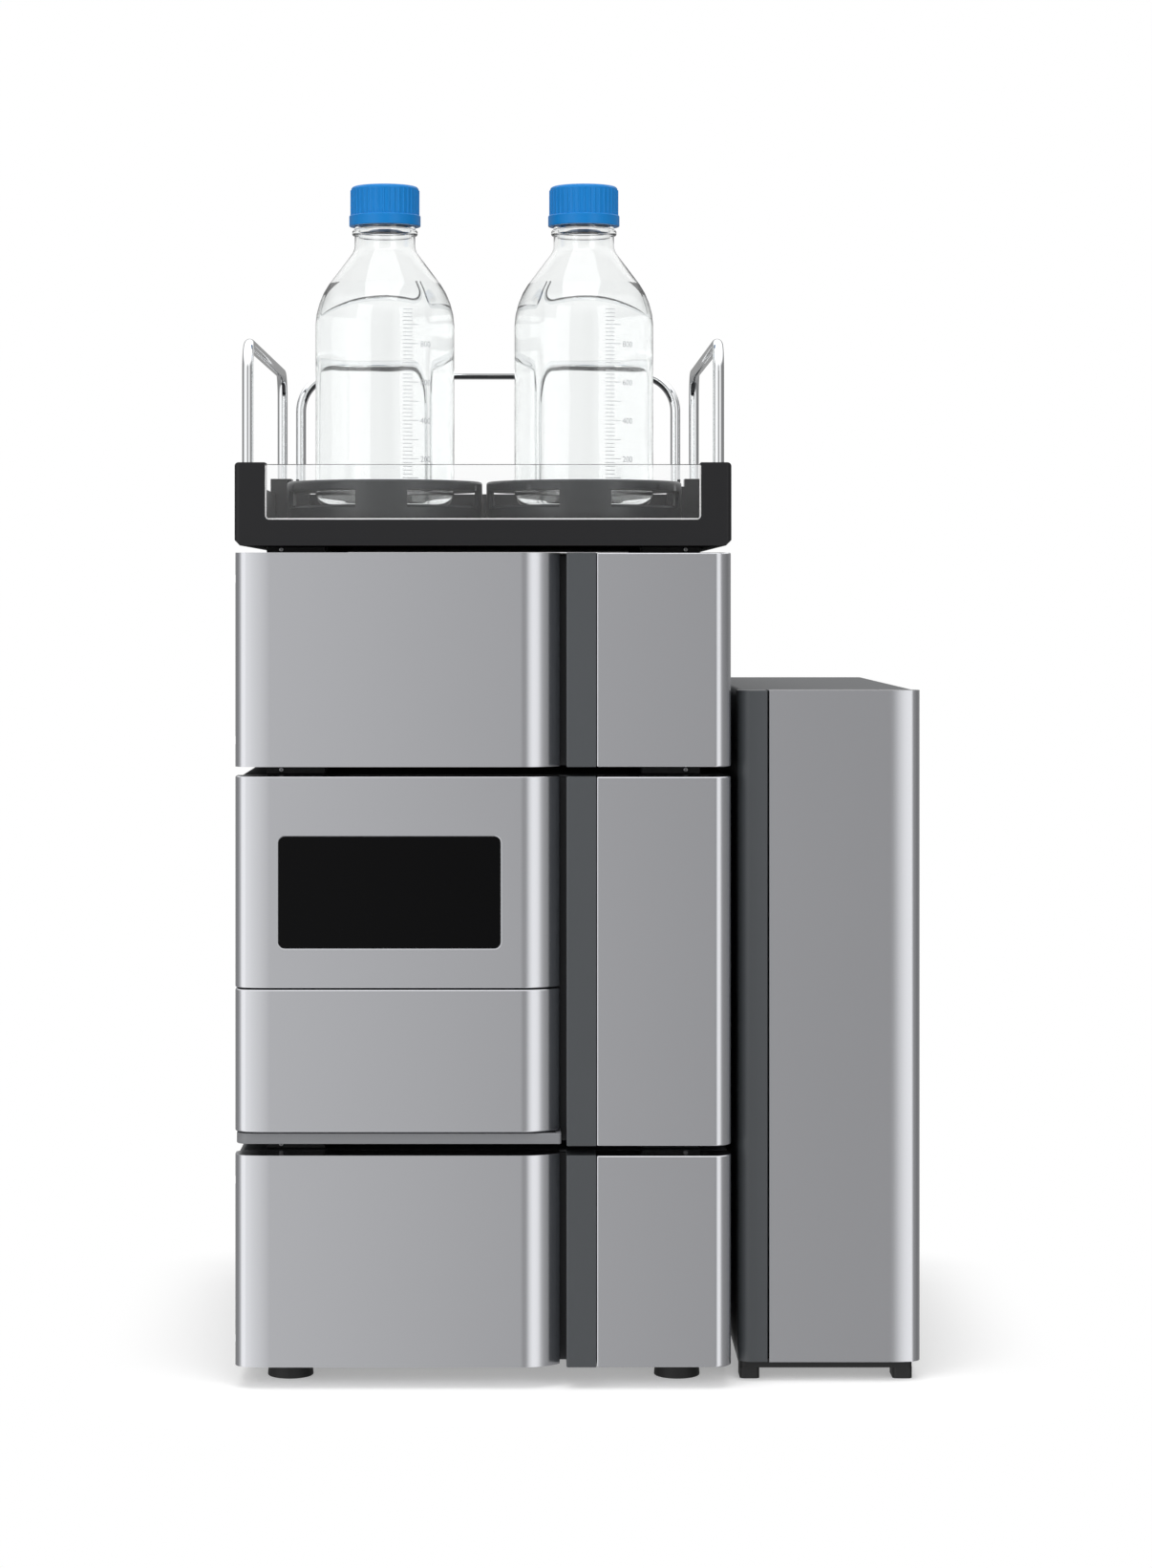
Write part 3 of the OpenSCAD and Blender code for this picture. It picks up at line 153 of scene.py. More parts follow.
def math_node(tree, operation, *values):
    """The result of a Math node on numbers or sockets."""
    inputs = dict(enumerate(values))
    return add_node(tree, "ShaderNodeMath", inputs, operation=operation).outputs["Value"]


def blend(tree, share, first, second):
    """A level between two others: a share of 0 gives the first, and 1 the second."""
    inputs = {"Factor": share, "A": first, "B": second}
    return add_node(tree, "ShaderNodeMix", inputs, data_type="FLOAT").outputs["Result"]


def smooth_rise(tree, value, start, end, lowest=0.0):
    """A level that rises smoothly from lowest at the start to 1 at the end."""
    inputs = {"Value": value, "From Min": start, "From Max": end, "To Min": lowest}
    node = add_node(tree, "ShaderNodeMapRange", inputs, interpolation_type="SMOOTHSTEP")
    return node.outputs["Result"]


def grey(level):
    return (level, level, level, 1)


print("stops of the room:", len(ROOM))

# %% Sky
world = bpy.data.worlds.new("studio")
bpy.context.scene.world = world
world.use_nodes = True
sky = world.node_tree
sky.nodes.clear()
direction = add_node(sky, "ShaderNodeTexCoord").outputs["Generated"]
towards = add_node(sky, "ShaderNodeSeparateXYZ", {"Vector": direction}).outputs
compass = math_node(sky, "ARCTAN2", towards["X"], math_node(sky, "MULTIPLY", towards["Y"], -1.0))
turn = math_node(sky, "MULTIPLY_ADD", compass, 1 / (2 * math.pi), 0.5)
levels = add_node(sky, "ShaderNodeValToRGB", {"Fac": turn})
ramp = levels.color_ramp
ramp.interpolation = "EASE"
for degrees, _ in ROOM[1:-1]:
    ramp.elements.new(degrees / 360 + 0.5)
for stop, (degrees, level) in zip(ramp.elements, ROOM):
    stop.color = grey(level)
overhead = smooth_rise(sky, towards["Z"], CEILING_FROM, CEILING_FULL)
room = blend(sky, overhead, levels.outputs["Color"], CEILING)
behind = smooth_rise(sky, towards["Y"], WHITE_FROM, WHITE_FULL, lowest=SIDE_WHITE)
print("stops of the ramp:", len(ramp.elements))

# %% Sky by kind of ray
rays = add_node(sky, "ShaderNodeLightPath").outputs
through_or_off = math_node(sky, "MAXIMUM", rays["Is Glossy Ray"], rays["Is Transmission Ray"])
passed_glass = math_node(sky, "MINIMUM", rays["Transmission Depth"], 1.0)
through_glass = math_node(sky, "MULTIPLY", passed_glass, behind)
backdrop = blend(sky, through_glass, room, 1.0)
lit = blend(sky, through_or_off, ROOM_DIFFUSE, backdrop)
level = blend(sky, rays["Is Camera Ray"], lit, 1.0)
background = add_node(sky, "ShaderNodeBackground", {"Color": level, "Strength": 1.0})
add_node(sky, "ShaderNodeOutputWorld", {"Surface": background.outputs["Background"]})
print("sky nodes:", len(sky.nodes))

# %% Lamps
# Lamps model the matt surfaces and throw the shadows; mirrors see the room alone
object_middle = (cad_low + cad_high) / 2


def soft_lamp(name, azimuth, distance, height, size, brightness):
    """Area lamp aimed at the object; brightness is the grey level of its surface."""
    lamp = bpy.data.lights.new(name, "AREA")
    lamp.shape = "RECTANGLE"
    lamp.size, lamp.size_y = size
    lamp.energy = brightness * math.pi * size[0] * size[1]
    angle = math.radians(azimuth)
    place = object_middle + distance * Vector((math.sin(angle), -math.cos(angle), 0))
    place.z = height
    box = bpy.data.objects.new(name, lamp)
    box.location = place
    box.rotation_euler = (object_middle - place).to_track_quat("-Z", "Y").to_euler()
    box.visible_glossy = False
    bpy.context.scene.collection.objects.link(box)
    return box


lamps = [
    soft_lamp("left_lamp", -36, 2.2, 0.9, (0.9, 2.0), 1.5),
    soft_lamp("right_lamp", 33, 2.2, 0.9, (0.8, 2.0), 1.3),
    soft_lamp("top_lamp", -10, 1.0, 2.6, (2.0, 1.6), 2.8),
]
print("lamps:", [lamp.name for lamp in lamps])

# %% [markdown]
# ## Floor
#
# The bench is a pale disc under the object. It takes the soft shadow at the feet, and a
# hand's width away from the object it has already faded into the white of the backdrop.

# %% Floor
FLOOR_RADIUS = 6.0
FADE_START, FADE_END = 0.0, 0.12  # distance outside the object's footprint
BENCH_COLOUR = 0.82
BENCH_LIFT = 0.34  # glow that lifts the shadow to a pale grey

floor_mesh = bmesh.new()
bmesh.ops.create_circle(floor_mesh, cap_ends=True, segments=96, radius=FLOOR_RADIUS)
floor_data = bpy.data.meshes.new("floor")
floor_mesh.to_mesh(floor_data)
floor_mesh.free()
floor = bpy.data.objects.new("floor", floor_data)
bpy.context.scene.collection.objects.link(floor)
floor.visible_glossy = False  # mirrors see the room below the bench too
print("floor radius:", FLOOR_RADIUS, "m")

# %% Bench finish


def vector_math(tree, operation, *values):
    """The result of a Vector Math node on vectors or sockets."""
    node = add_node(tree, "ShaderNodeVectorMath", dict(enumerate(values)), operation=operation)
    return node.outputs["Value" if operation == "LENGTH" else "Vector"]


bench_finish = bpy.data.materials.new("pale_bench")
bench_finish.use_nodes = True
tree = bench_finish.node_tree
tree.nodes.clear()
place = add_node(tree, "ShaderNodeTexCoord").outputs["Object"]
half_footprint = ((cad_high.x - cad_low.x) / 2, (cad_high.y - cad_low.y) / 2, 0)
past_side = vector_math(tree, "SUBTRACT", vector_math(tree, "ABSOLUTE", place), half_footprint)
outside = vector_math(tree, "LENGTH", vector_math(tree, "MAXIMUM", past_side, (0, 0, 0)))
fade = smooth_rise(tree, outside, FADE_START, FADE_END)
rays = add_node(tree, "ShaderNodeLightPath").outputs
seen_or_glass = math_node(tree, "MAXIMUM", rays["Is Camera Ray"], rays["Is Transmission Ray"])
white_share = math_node(tree, "MULTIPLY", fade, seen_or_glass)
matt = add_node(tree, "ShaderNodeBsdfDiffuse", {"Color": grey(BENCH_COLOUR)}).outputs["BSDF"]
lift = math_node(tree, "MULTIPLY", seen_or_glass, BENCH_LIFT)
lifted = add_node(tree, "ShaderNodeEmission", {"Strength": lift}).outputs["Emission"]
bench = add_node(tree, "ShaderNodeAddShader", {0: matt, 1: lifted}).outputs["Shader"]
plain_white = add_node(tree, "ShaderNodeEmission", {"Strength": 1.0}).outputs["Emission"]
surface = add_node(tree, "ShaderNodeMixShader", {"Fac": white_share, 1: bench, 2: plain_white})
add_node(tree, "ShaderNodeOutputMaterial", {"Surface": surface.outputs["Shader"]})
floor.data.materials.append(bench_finish)
print("bench nodes:", len(tree.nodes))

# %% [markdown]
# ## Shared surface effects
#
# Moulded and painted surfaces are never perfectly even. One node group gives every
# opaque finish its texture: a fine height for the bump, and a slow change of shade.
# Each material sets the size of the grain and how strong it is.

# %% Surface texture group
GRAIN_DETAIL = 2.0
GRAIN_ROUGHNESS, CLOUD_ROUGHNESS = 0.6, 0.5
CLOUD_SHARE = 0.6  # of the change of shade, the rest follows the grain


def surface_texture_group():
    """Grain and clouds: they change the colour and the roughness, and the grain is a height."""
    group = bpy.data.node_groups.new("surface_texture", "ShaderNodeTree")
    sockets = (
        ("Color", "INPUT", "NodeSocketColor", (0.5, 0.5, 0.5, 1)),
        ("Grain Size", "INPUT", "NodeSocketFloat", 1.0),
        ("Cloud Size", "INPUT", "NodeSocketFloat", 60.0),
        ("Shade Change", "INPUT", "NodeSocketFloat", 0.03),
        ("Roughness", "INPUT", "NodeSocketFloat", 0.4),
        ("Roughness Change", "INPUT", "NodeSocketFloat", 0.04),
        ("Color", "OUTPUT", "NodeSocketColor", None),
        ("Roughness", "OUTPUT", "NodeSocketFloat", None),
        ("Height", "OUTPUT", "NodeSocketFloat", None),
    )
    for name, side, kind, default in sockets:
        socket = group.interface.new_socket(name, in_out=side, socket_type=kind)
        if default is not None:
            socket.default_value = default
    given = add_node(group, "NodeGroupInput").outputs
    place = add_node(group, "ShaderNodeTexCoord").outputs["Object"]

    def noise(size, roughness):
        scale = math_node(group, "DIVIDE", 1 / MM, size)
        inputs = {"Vector": place, "Scale": scale, "Detail": GRAIN_DETAIL, "Roughness": roughness}
        return add_node(group, "ShaderNodeTexNoise", inputs).outputs["Fac"]

    grain = noise(given["Grain Size"], GRAIN_ROUGHNESS)
    cloud = noise(given["Cloud Size"], CLOUD_ROUGHNESS)
    around_zero = math_node(group, "SUBTRACT", blend(group, CLOUD_SHARE, grain, cloud), 0.5)
    shade = math_node(group, "MULTIPLY_ADD", around_zero, given["Shade Change"], 1.0)
    tinted = add_node(
        group, "ShaderNodeVectorMath", {0: given["Color"], "Scale": shade}, operation="SCALE"
    ).outputs["Vector"]
    rough = math_node(
        group, "MULTIPLY_ADD", around_zero, given["Roughness Change"], given["Roughness"]
    )
    add_node(group, "NodeGroupOutput", {"Color": tinted, "Roughness": rough, "Height": grain})
    return group


SURFACE_TEXTURE = surface_texture_group()
print("surface texture group:", len(SURFACE_TEXTURE.nodes), "nodes")

# %% [markdown]
# ## Finishes
#
# A Principled shader stays in each material, and the group above feeds its colour,
# roughness and bump. Colours are given as a screen shows them, from 0 to 255, and turned
# into the light values that Blender works with.

# %% Finish helper


def seen(*levels):
    """Light values of a colour given as a screen shows it: red, green and blue."""
    return tuple(
        share / 12.92 if share <= 0.04045 else ((share + 0.055) / 1.055) ** 2.4
        for share in (level / 255 for level in levels)
    )


def finish(
    name, color, roughness, grain=0.8, depth=0.02, shade=0.04, uneven=0.05, cloud=60.0, **sockets
):
    """An opaque material, with a bump of this grain and depth in mm.

    Shade and uneven are how far its colour and its roughness change, cloud is the size of
    that change in mm, and sockets are other values of the Principled shader.
    """
    material = bpy.data.materials.new(name)
    material.use_nodes = True
    tree = material.node_tree
    shader = tree.nodes["Principled BSDF"]
    texture = add_node(
        tree,
        "ShaderNodeGroup",
        {
            "Color": (*color, 1),
            "Grain Size": grain,
            "Cloud Size": cloud,
            "Shade Change": shade,
            "Roughness": roughness,
            "Roughness Change": uneven,
        },
        node_tree=SURFACE_TEXTURE,
    )
    bump = add_node(
        tree,
        "ShaderNodeBump",
        {"Height": texture.outputs["Height"], "Distance": depth * MM, "Strength": 1.0},
    )
    tree.links.new(texture.outputs["Color"], shader.inputs["Base Color"])
    tree.links.new(texture.outputs["Roughness"], shader.inputs["Roughness"])
    tree.links.new(bump.outputs["Normal"], shader.inputs["Normal"])
    for socket, value in sockets.items():
        shader.inputs[socket.replace("_", " ")].default_value = value
    return material


# %% Opaque finishes
silver_paint = finish(
    "silver_paint", seen(211, 212, 216), 0.20,
    grain=0.4, depth=0.0006, shade=0.015, uneven=0.02, cloud=160.0, Metallic=1.0,
)
charcoal_paint = finish("charcoal_paint", seen(62, 64, 67), 0.50, grain=0.7, depth=0.03)
pillar_plastic = finish("pillar_plastic", seen(70, 73, 76), 0.36, grain=0.5, depth=0.004)
tray_plastic = finish(
    "tray_plastic", seen(24, 24, 26), 0.42, grain=0.5, depth=0.008, Specular_IOR_Level=0.3
)
holder_plastic = finish(
    "holder_plastic", seen(33, 36, 39), 0.36, grain=0.5, depth=0.006, Specular_IOR_Level=0.4
)
socket_plastic = finish("socket_plastic", seen(24, 24, 26), 0.45, grain=0.5, depth=0.010)
liner_plastic = finish("liner_plastic", seen(42, 44, 47), 0.5, grain=0.8, depth=0.02)
sill_plastic = finish("sill_plastic", seen(128, 129, 132), 0.40, grain=0.5, depth=0.006)
rack_plastic = finish("rack_plastic", seen(120, 124, 130), 0.45, grain=0.6, depth=0.01)
print("paints and plastics:", len(bpy.data.materials))

# %% Rubber, metals and the screen
foot_rubber = finish("foot_rubber", seen(20, 20, 21), 0.6, grain=0.9, depth=0.02)
filter_foam = finish("filter_foam", seen(28, 28, 30), 0.9, grain=0.9, depth=0.5, shade=0.3)
chrome = finish("chrome", (0.78, 0.79, 0.80), 0.06, grain=2.0, depth=0.0005, Metallic=1.0)
stainless = finish("stainless", (0.60, 0.60, 0.61), 0.24, grain=0.3, depth=0.003, Metallic=1.0)
zinc_screw = finish("zinc_screw", (0.50, 0.50, 0.51), 0.30, grain=0.4, depth=0.003, Metallic=1.0)
heater_aluminium = finish(
    "heater_aluminium", (0.55, 0.56, 0.58), 0.38, grain=0.4, depth=0.006, Metallic=1.0
)
cap_plastic = finish(
    "cap_plastic", seen(8, 121, 194), 0.34, grain=0.6, depth=0.006, Specular_IOR_Level=0.3
)
seal_plastic = finish("seal_plastic", seen(228, 228, 224), 0.45, grain=0.6, depth=0.006)
screen_glass = finish(
    "screen_glass", seen(3, 3, 4), 0.10, grain=4.0, depth=0.0002, Specular_IOR_Level=0.12
)
scale_ink = finish("scale_ink", seen(196, 199, 202), 0.6, grain=0.4, depth=0.002)
print("opaque finishes:", len(bpy.data.materials))

# %% [markdown]
# ## Clear finishes
#
# Glass, acrylic and the solvent are the same kind of shader with different refraction.
# Glass that was blown into a mould has slow waves, which bend the lines behind it, so
# its bump is wide and shallow. The cut rim of the acrylic is a painted highlight: a matt
# white that stands for the light the sheet carries to its edge.

# %% Clear finish helper


def clear_finish(name, tint, ior, wave=0.0, wave_size=30.0, roughness=0.0):
    """A see-through material; wave and wave_size are mm of slow waves in the surface."""
    material = bpy.data.materials.new(name)
    material.use_nodes = True
    tree = material.node_tree
    shader = tree.nodes["Principled BSDF"]
    shader.inputs["Base Color"].default_value = (*tint, 1)
    shader.inputs["Roughness"].default_value = roughness
    shader.inputs["IOR"].default_value = ior
    shader.inputs["Transmission Weight"].default_value = 1.0
    if wave:
        place = add_node(tree, "ShaderNodeTexCoord").outputs["Object"]
        inputs = {"Vector": place, "Scale": 1 / (wave_size * MM), "Detail": 1.0}
        waves = add_node(tree, "ShaderNodeTexNoise", inputs).outputs["Fac"]
        bump = add_node(tree, "ShaderNodeBump", {"Height": waves, "Distance": wave * MM})
        tree.links.new(bump.outputs["Normal"], shader.inputs["Normal"])
    return material


print("clear finish helper ready")

# %% Glass, liquid and acrylic
bottle_glass = clear_finish("bottle_glass", (0.948, 0.958, 0.955), 1.49, wave=0.35, wave_size=34)
solvent_clear = clear_finish("solvent_clear", (0.995, 0.998, 1.0), 1.34)
vial_glass = clear_finish("vial_glass", (0.97, 0.985, 0.98), 1.5)
clear_acrylic = clear_finish("clear_acrylic", (0.985, 0.99, 0.99), 1.49)
sheet_shader = clear_acrylic.node_tree.nodes["Principled BSDF"]
sheet_shader.inputs["Specular IOR Level"].default_value = 0.2
# Painted highlight: this matt white stands for the glow of the acrylic's cut rim, not for a colour
# of its own
painted_rim_highlight = clear_finish("painted_rim_highlight", (1.0, 1.0, 1.0), 1.2, roughness=0.9)
painted_rim_shader = painted_rim_highlight.node_tree.nodes["Principled BSDF"]
painted_rim_shader.inputs["Transmission Weight"].default_value = 0.0  # matt, so it shows as white
print("clear finishes:", [m.name for m in (bottle_glass, solvent_clear, vial_glass, clear_acrylic)])

# %% [markdown]
# ## Rounded edges
#
# The frame's meshes have mathematically sharp edges, and a real edge never is: folded
# sheet, moulded plastic and ground glass all have a small radius that catches light.
# So a copy of each node is merged, its flat faces are joined, and its sharp edges are
# bevelled. A Weighted Normal modifier keeps the big faces flat.

# %% Piece helpers


def piece_from(bm, name, body, material, smooth_angle=40):
    """Turns a bmesh into a finished piece that rides on a body."""
    data = bpy.data.meshes.new(name)
    bm.to_mesh(data)
    bm.free()
    data.shade_smooth()
    data.set_sharp_from_angle(angle=math.radians(smooth_angle))
    data.materials.append(material)
    piece = bpy.data.objects.new(name, data)
    bpy.context.scene.collection.objects.link(piece)
    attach(piece, body)
    return piece


def body_of_node(node):
    return frame["nodes"][node]["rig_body"]


def paint_node(node, material):
    """Gives a CAD node, left as it is, its material."""
    ob = frame["nodes"][node]
    ob.data.materials.clear()
    ob.data.materials.append(material)


print("nodes to dress:", len(frame["nodes"]))

# %% Rounding helper
SHARP = math.radians(32)
FLAT = math.radians(0.4)  # faces that meet at less than this become one
MERGE_DISTANCE = 0.002 * MM


def round_edges(bm, edges, radius, segments):
    """Bevels edges of a bmesh into arcs of this radius, in mm."""
    bmesh.ops.bevel(
        bm,
        geom=edges,
        offset=radius * MM,
        offset_type="OFFSET",
        segments=segments,
        profile=0.5,
        affect="EDGES",
        clamp_overlap=True,
        material=-1,
    )


def rounded(node, radius, material, segments=3):
    """A copy of a CAD node with its sharp outer edges rounded by radius, in mm."""
    bm = bmesh.new()
    bm.from_mesh(frame["nodes"][node].data)
    bmesh.ops.remove_doubles(bm, verts=bm.verts, dist=MERGE_DISTANCE)
    bmesh.ops.dissolve_limit(bm, angle_limit=FLAT, verts=bm.verts, edges=bm.edges)
    outer = [e for e in bm.edges if e.is_manifold and e.is_convex and e.calc_face_angle() > SHARP]
    round_edges(bm, outer, radius, segments)
    piece = piece_from(bm, node + "_rounded", body_of_node(node), material)
    normals = piece.modifiers.new("flat_faces", "WEIGHTED_NORMAL")
    normals.keep_sharp = True
    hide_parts(node)
    return piece


print("edges sharper than", round(math.degrees(SHARP)), "degrees are rounded")

# %% [markdown]
# ## A small lathe
#
# Bottles, caps, vials, screws and nuts are turned shapes. Each starts as a wire of
# corner points, from the axis out and back. A vertex bevel rounds a corner of the wire
# as a lathe tool would, and a full spin about Z makes the solid. The bevel wants the
# distance from the corner to the arc, so it is worked out from the radius and the angle.

# %% Lathe helper
ARC_STEP = 9  # degrees of an arc that one facet covers


def round_corner(bm, corner, radius):
    """Rounds a corner of a wire with an arc of this radius, in mm."""
    before, after = (edge.other_vert(corner).co - corner.co for edge in corner.link_edges)
    angle = before.angle(after)
    bmesh.ops.bevel(
        bm,
        geom=[corner],
        offset=radius * MM / math.tan(angle / 2),
        offset_type="OFFSET",
        segments=max(2, round(math.degrees(math.pi - angle) / ARC_STEP)),
        profile=0.5,
        affect="VERTICES",
        material=-1,
    )


def turned(corners, steps=48):
    """Spins a wire of (radius, height, rounding) corners, in mm, into a solid."""
    bm = bmesh.new()
    verts = [bm.verts.new((radius * MM, 0, height * MM)) for radius, height, _ in corners]
    for pair in zip(verts, verts[1:]):
        bm.edges.new(pair)
    for corner, (_, _, rounding) in zip(verts, corners):
        if rounding:
            round_corner(bm, corner, rounding)
    bmesh.ops.spin(
        bm,
        geom=bm.verts[:] + bm.edges[:],
        cent=(0, 0, 0),
        axis=(0, 0, 1),
        dvec=(0, 0, 0),
        angle=2 * math.pi,
        steps=steps,
        use_merge=True,
    )
    bmesh.ops.remove_doubles(bm, verts=bm.verts, dist=0.001 * MM)
    bmesh.ops.recalc_face_normals(bm, faces=bm.faces)
    return bm


print("arcs have a facet every", ARC_STEP, "degrees")

# %% Copies, blocks and turns


def copies(template, placings):
    """One bmesh that holds the template at every placing, a list of matrices."""
    data = bpy.data.meshes.new("template")
    template.to_mesh(data)
    template.free()
    joined = bmesh.new()
    for placing in placings:
        joined.from_mesh(data)
        count = len(data.vertices)
        joined.verts.ensure_lookup_table()
        bmesh.ops.transform(joined, matrix=placing, verts=joined.verts[-count:])
    bpy.data.meshes.remove(data)
    return joined


def block(low, high, rounding, segments=2):
    """A box between two corners, in metres, with its edges rounded, in mm."""
    bm = bmesh.new()
    bmesh.ops.create_cube(bm, size=1)
    low, high = Vector(low), Vector(high)
    bmesh.ops.scale(bm, vec=high - low, verts=bm.verts)
    bmesh.ops.translate(bm, vec=(low + high) / 2, verts=bm.verts)
    round_edges(bm, bm.edges[:], rounding, segments)
    return bm


def points_of(geometry):
    """The vertices among what an operator made."""
    return [v for v in geometry if isinstance(v, bmesh.types.BMVert)]


def edges_of(geometry):
    """The edges among what an operator made."""
    return [e for e in geometry if isinstance(e, bmesh.types.BMEdge)]


def at(x, y, z):
    return Matrix.Translation((x, y, z))


TO_REAR = Matrix.Rotation(math.radians(-90), 4, "X")  # turns +Z to +Y
TO_FRONT = Matrix.Rotation(math.radians(90), 4, "X")  # turns +Z to -Y
print("turns to the rear and to the front:", TO_REAR.to_euler(), TO_FRONT.to_euler())

# %% [markdown]
# ## Silver fronts
#
# Doors, panels and fascias are thin painted shells. Their edges are rounded by about a
# millimetre, which draws the bright line along each seam.

# %% Silver fronts
SILVER = [
    "pump_door", "pump_fascia", "sampler_panel", "sampler_fascia", "drawer_front",
    "detector_door", "detector_fascia", "oven_door",
]
silver_pieces = [rounded(node, 1.1, silver_paint, segments=4) for node in SILVER]
print("silver fronts:", len(silver_pieces))

# %% [markdown]
# ## Dark strips, sill and screen
#
# An upright strip of dark plastic parts the doors from the fascias, and the sampler has a
# grey sill under its drawer. They are moulded, so their edges are tighter than those of
# the painted shells. The screen is a black glass plate whose edge is only just broken.

# %% Dark strips, sill and screen
for node in ("pump_pillar", "sampler_pillar", "detector_pillar", "oven_pillar"):
    rounded(node, 0.5, pillar_plastic)
rounded("sampler_sill", 0.6, sill_plastic)
rounded("sampler_screen", 0.25, screen_glass, segments=2)
screen_low, screen_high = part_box("sampler_screen")
print("screen is", round((screen_high.x - screen_low.x) / MM, 1), "mm wide")

# %% [markdown]
# ## Cases
#
# The wrap covers, floors and rear panels are folded steel with a fine powder coat. What
# the doors and the drawer hide gets the same care: rounded liners, trays and plates.

# %% Cases
CHARCOAL = [
    "pump_cover", "sampler_cover", "detector_cover", "oven_cabinet", "pump_chassis",
    "sampler_chassis", "detector_chassis", "oven_rear_panel", "lamp_housing", "drawer_tray",
]
for node in CHARCOAL:
    rounded(node, 0.4, charcoal_paint, segments=2)
print("painted case nodes:", len(CHARCOAL))

# %% Liners, sockets and feet
for node in ("pump_compartment", "drawer_compartment", "detector_compartment", "leak_trays"):
    rounded(node, 0.6, liner_plastic, segments=2)
for node in ("rear_sockets", "pump_switch", "sampler_switch", "detector_switch", "oven_switch"):
    rounded(node, 0.25, socket_plastic, segments=2)
rounded("purge_knob", 0.6, socket_plastic)
rounded("column_clips", 0.4, socket_plastic, segments=2)
rounded("oven_gasket", 0.8, foot_rubber)
rounded("module_feet", 1.0, foot_rubber)
rounded("oven_plinth", 1.2, foot_rubber)
feet_low, feet_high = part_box("module_feet")
print("feet and pads reach from", round(feet_low.z / MM, 1), "to", round(feet_high.z / MM, 1), "mm")

# %% [markdown]
# ## Metal parts
#
# Behind the doors stand stainless pump heads, valves and the flow cell, and the column
# lies on a plate of heated aluminium. The hinge pins and the bent chrome rails are round
# rods with no sharp edge, so they keep the frame's own meshes and only get a material.

# %% Metal parts
for node in ("pump_heads", "check_valves", "purge_valve", "flow_cell", "column"):
    rounded(node, 0.4, stainless, segments=2)
paint_node("hinge_pins", stainless)
rounded("heater_plate", 0.5, heater_aluminium, segments=2)
rounded("vial_racks", 0.5, rack_plastic, segments=2)
rails = ("left_guard_rail", "right_guard_rail", "rear_guard_rail")
for node in rails:
    paint_node(node, chrome)
print("chrome rails:", len(rails))

# %% [markdown]
# ## Screws
#
# Button-head screws with a hexagon socket hold the covers and the rear panels. One screw
# is turned with an open top, a hexagon is bridged into the opening and pushed down, and
# the finished screw is copied to every place.

# %% Screw
SCREW_RADIUS, SCREW_HEIGHT, SCREW_ROUNDING = 3.2, 1.7, 1.3
SCREW_SUNK = 0.6  # how far the head goes into the panel
SOCKET_RADIUS, SOCKET_DEPTH = 1.5, 1.2
SOCKET_RING = 0.5  # width of the flat face round the socket


def button_screw():
    """A screw head that points up, its seat at height 0."""
    bm = turned(
        [
            (0, -SCREW_SUNK, 0),
            (SCREW_RADIUS, -SCREW_SUNK, 0),
            (SCREW_RADIUS, SCREW_HEIGHT, SCREW_ROUNDING),
            (SOCKET_RADIUS + SOCKET_RING, SCREW_HEIGHT, 0),
        ],
        steps=18,
    )
    rim = [e for e in bm.edges if e.is_boundary]
    hexagon = bmesh.ops.create_circle(bm, segments=6, radius=SOCKET_RADIUS * MM)["verts"]
    bmesh.ops.translate(bm, vec=(0, 0, SCREW_HEIGHT * MM), verts=hexagon)
    sides = [e for e in bm.edges if all(v in hexagon for v in e.verts)]
    bmesh.ops.bridge_loops(bm, edges=rim + sides)
    pushed = bmesh.ops.extrude_edge_only(bm, edges=sides)["geom"]
    bmesh.ops.translate(bm, vec=(0, 0, -SOCKET_DEPTH * MM), verts=points_of(pushed))
    bmesh.ops.contextual_create(bm, geom=edges_of(pushed))
    bmesh.ops.recalc_face_normals(bm, faces=bm.faces)
    return bm


print("screw head is", 2 * SCREW_RADIUS, "mm across")

# %% Screws of the rear panels
INSET_X, INSET_Z = 9 * MM, 16 * MM  # from the sides and from the ends of a cover
COVERS = {
    "pump_cover": "pump_chassis",
    "sampler_cover": "sampler_chassis",
    "detector_cover": "detector_chassis",
    "oven_cabinet": "oven_rear_panel",
}


def rear_places(cover, panel):
    """Six screw places along the upright edges of a rear panel."""
    low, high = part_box(cover)
    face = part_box(panel)[1].y
    middle = (low.z + high.z) / 2
    return [
        at(x, face, z) @ TO_REAR
        for x in (low.x + INSET_X, high.x - INSET_X)
        for z in (low.z + INSET_Z, middle, high.z - INSET_Z)
    ]


places = [place for cover, panel in COVERS.items() for place in rear_places(cover, panel)]
piece_from(copies(button_screw(), places), "rear_screws", "stack", zinc_screw)
print("screws on the rear:", len(places))

# %% Screws of the pads between the units
PAD_SCREW_X = 144 * MM  # from the middle of the stack
PAD_FACE_Y = 32 * MM  # behind the front of the stack
PAD_SCREW_SCALE = 0.5

tray_low, tray_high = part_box("tray_frame")
stack_middle = (tray_low.x + tray_high.x) / 2
stacked = ["tray_frame", "pump_cover", "sampler_cover", "detector_cover"]
gaps = [(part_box(lower)[1].z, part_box(upper)[0].z) for upper, lower in zip(stacked, stacked[1:])]
pad_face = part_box("pump_fascia")[0].y + PAD_FACE_Y
pad_places = [
    at(stack_middle + side * PAD_SCREW_X, pad_face, (floor_z + roof_z) / 2)
    @ TO_FRONT
    @ Matrix.Scale(PAD_SCREW_SCALE, 4)
    for floor_z, roof_z in gaps
    for side in (-1, 1)
]
piece_from(copies(button_screw(), pad_places), "pad_screws", "stack", zinc_screw)
print("gaps in mm:", [round((roof_z - floor_z) / MM, 1) for floor_z, roof_z in gaps])

# %% [markdown]
# ## Filters behind the fan slots
#
# Each rear panel has a round of slots over its fan. What shows through them is a sheet
# of black foam, so a foam plate lies just inside the panel.

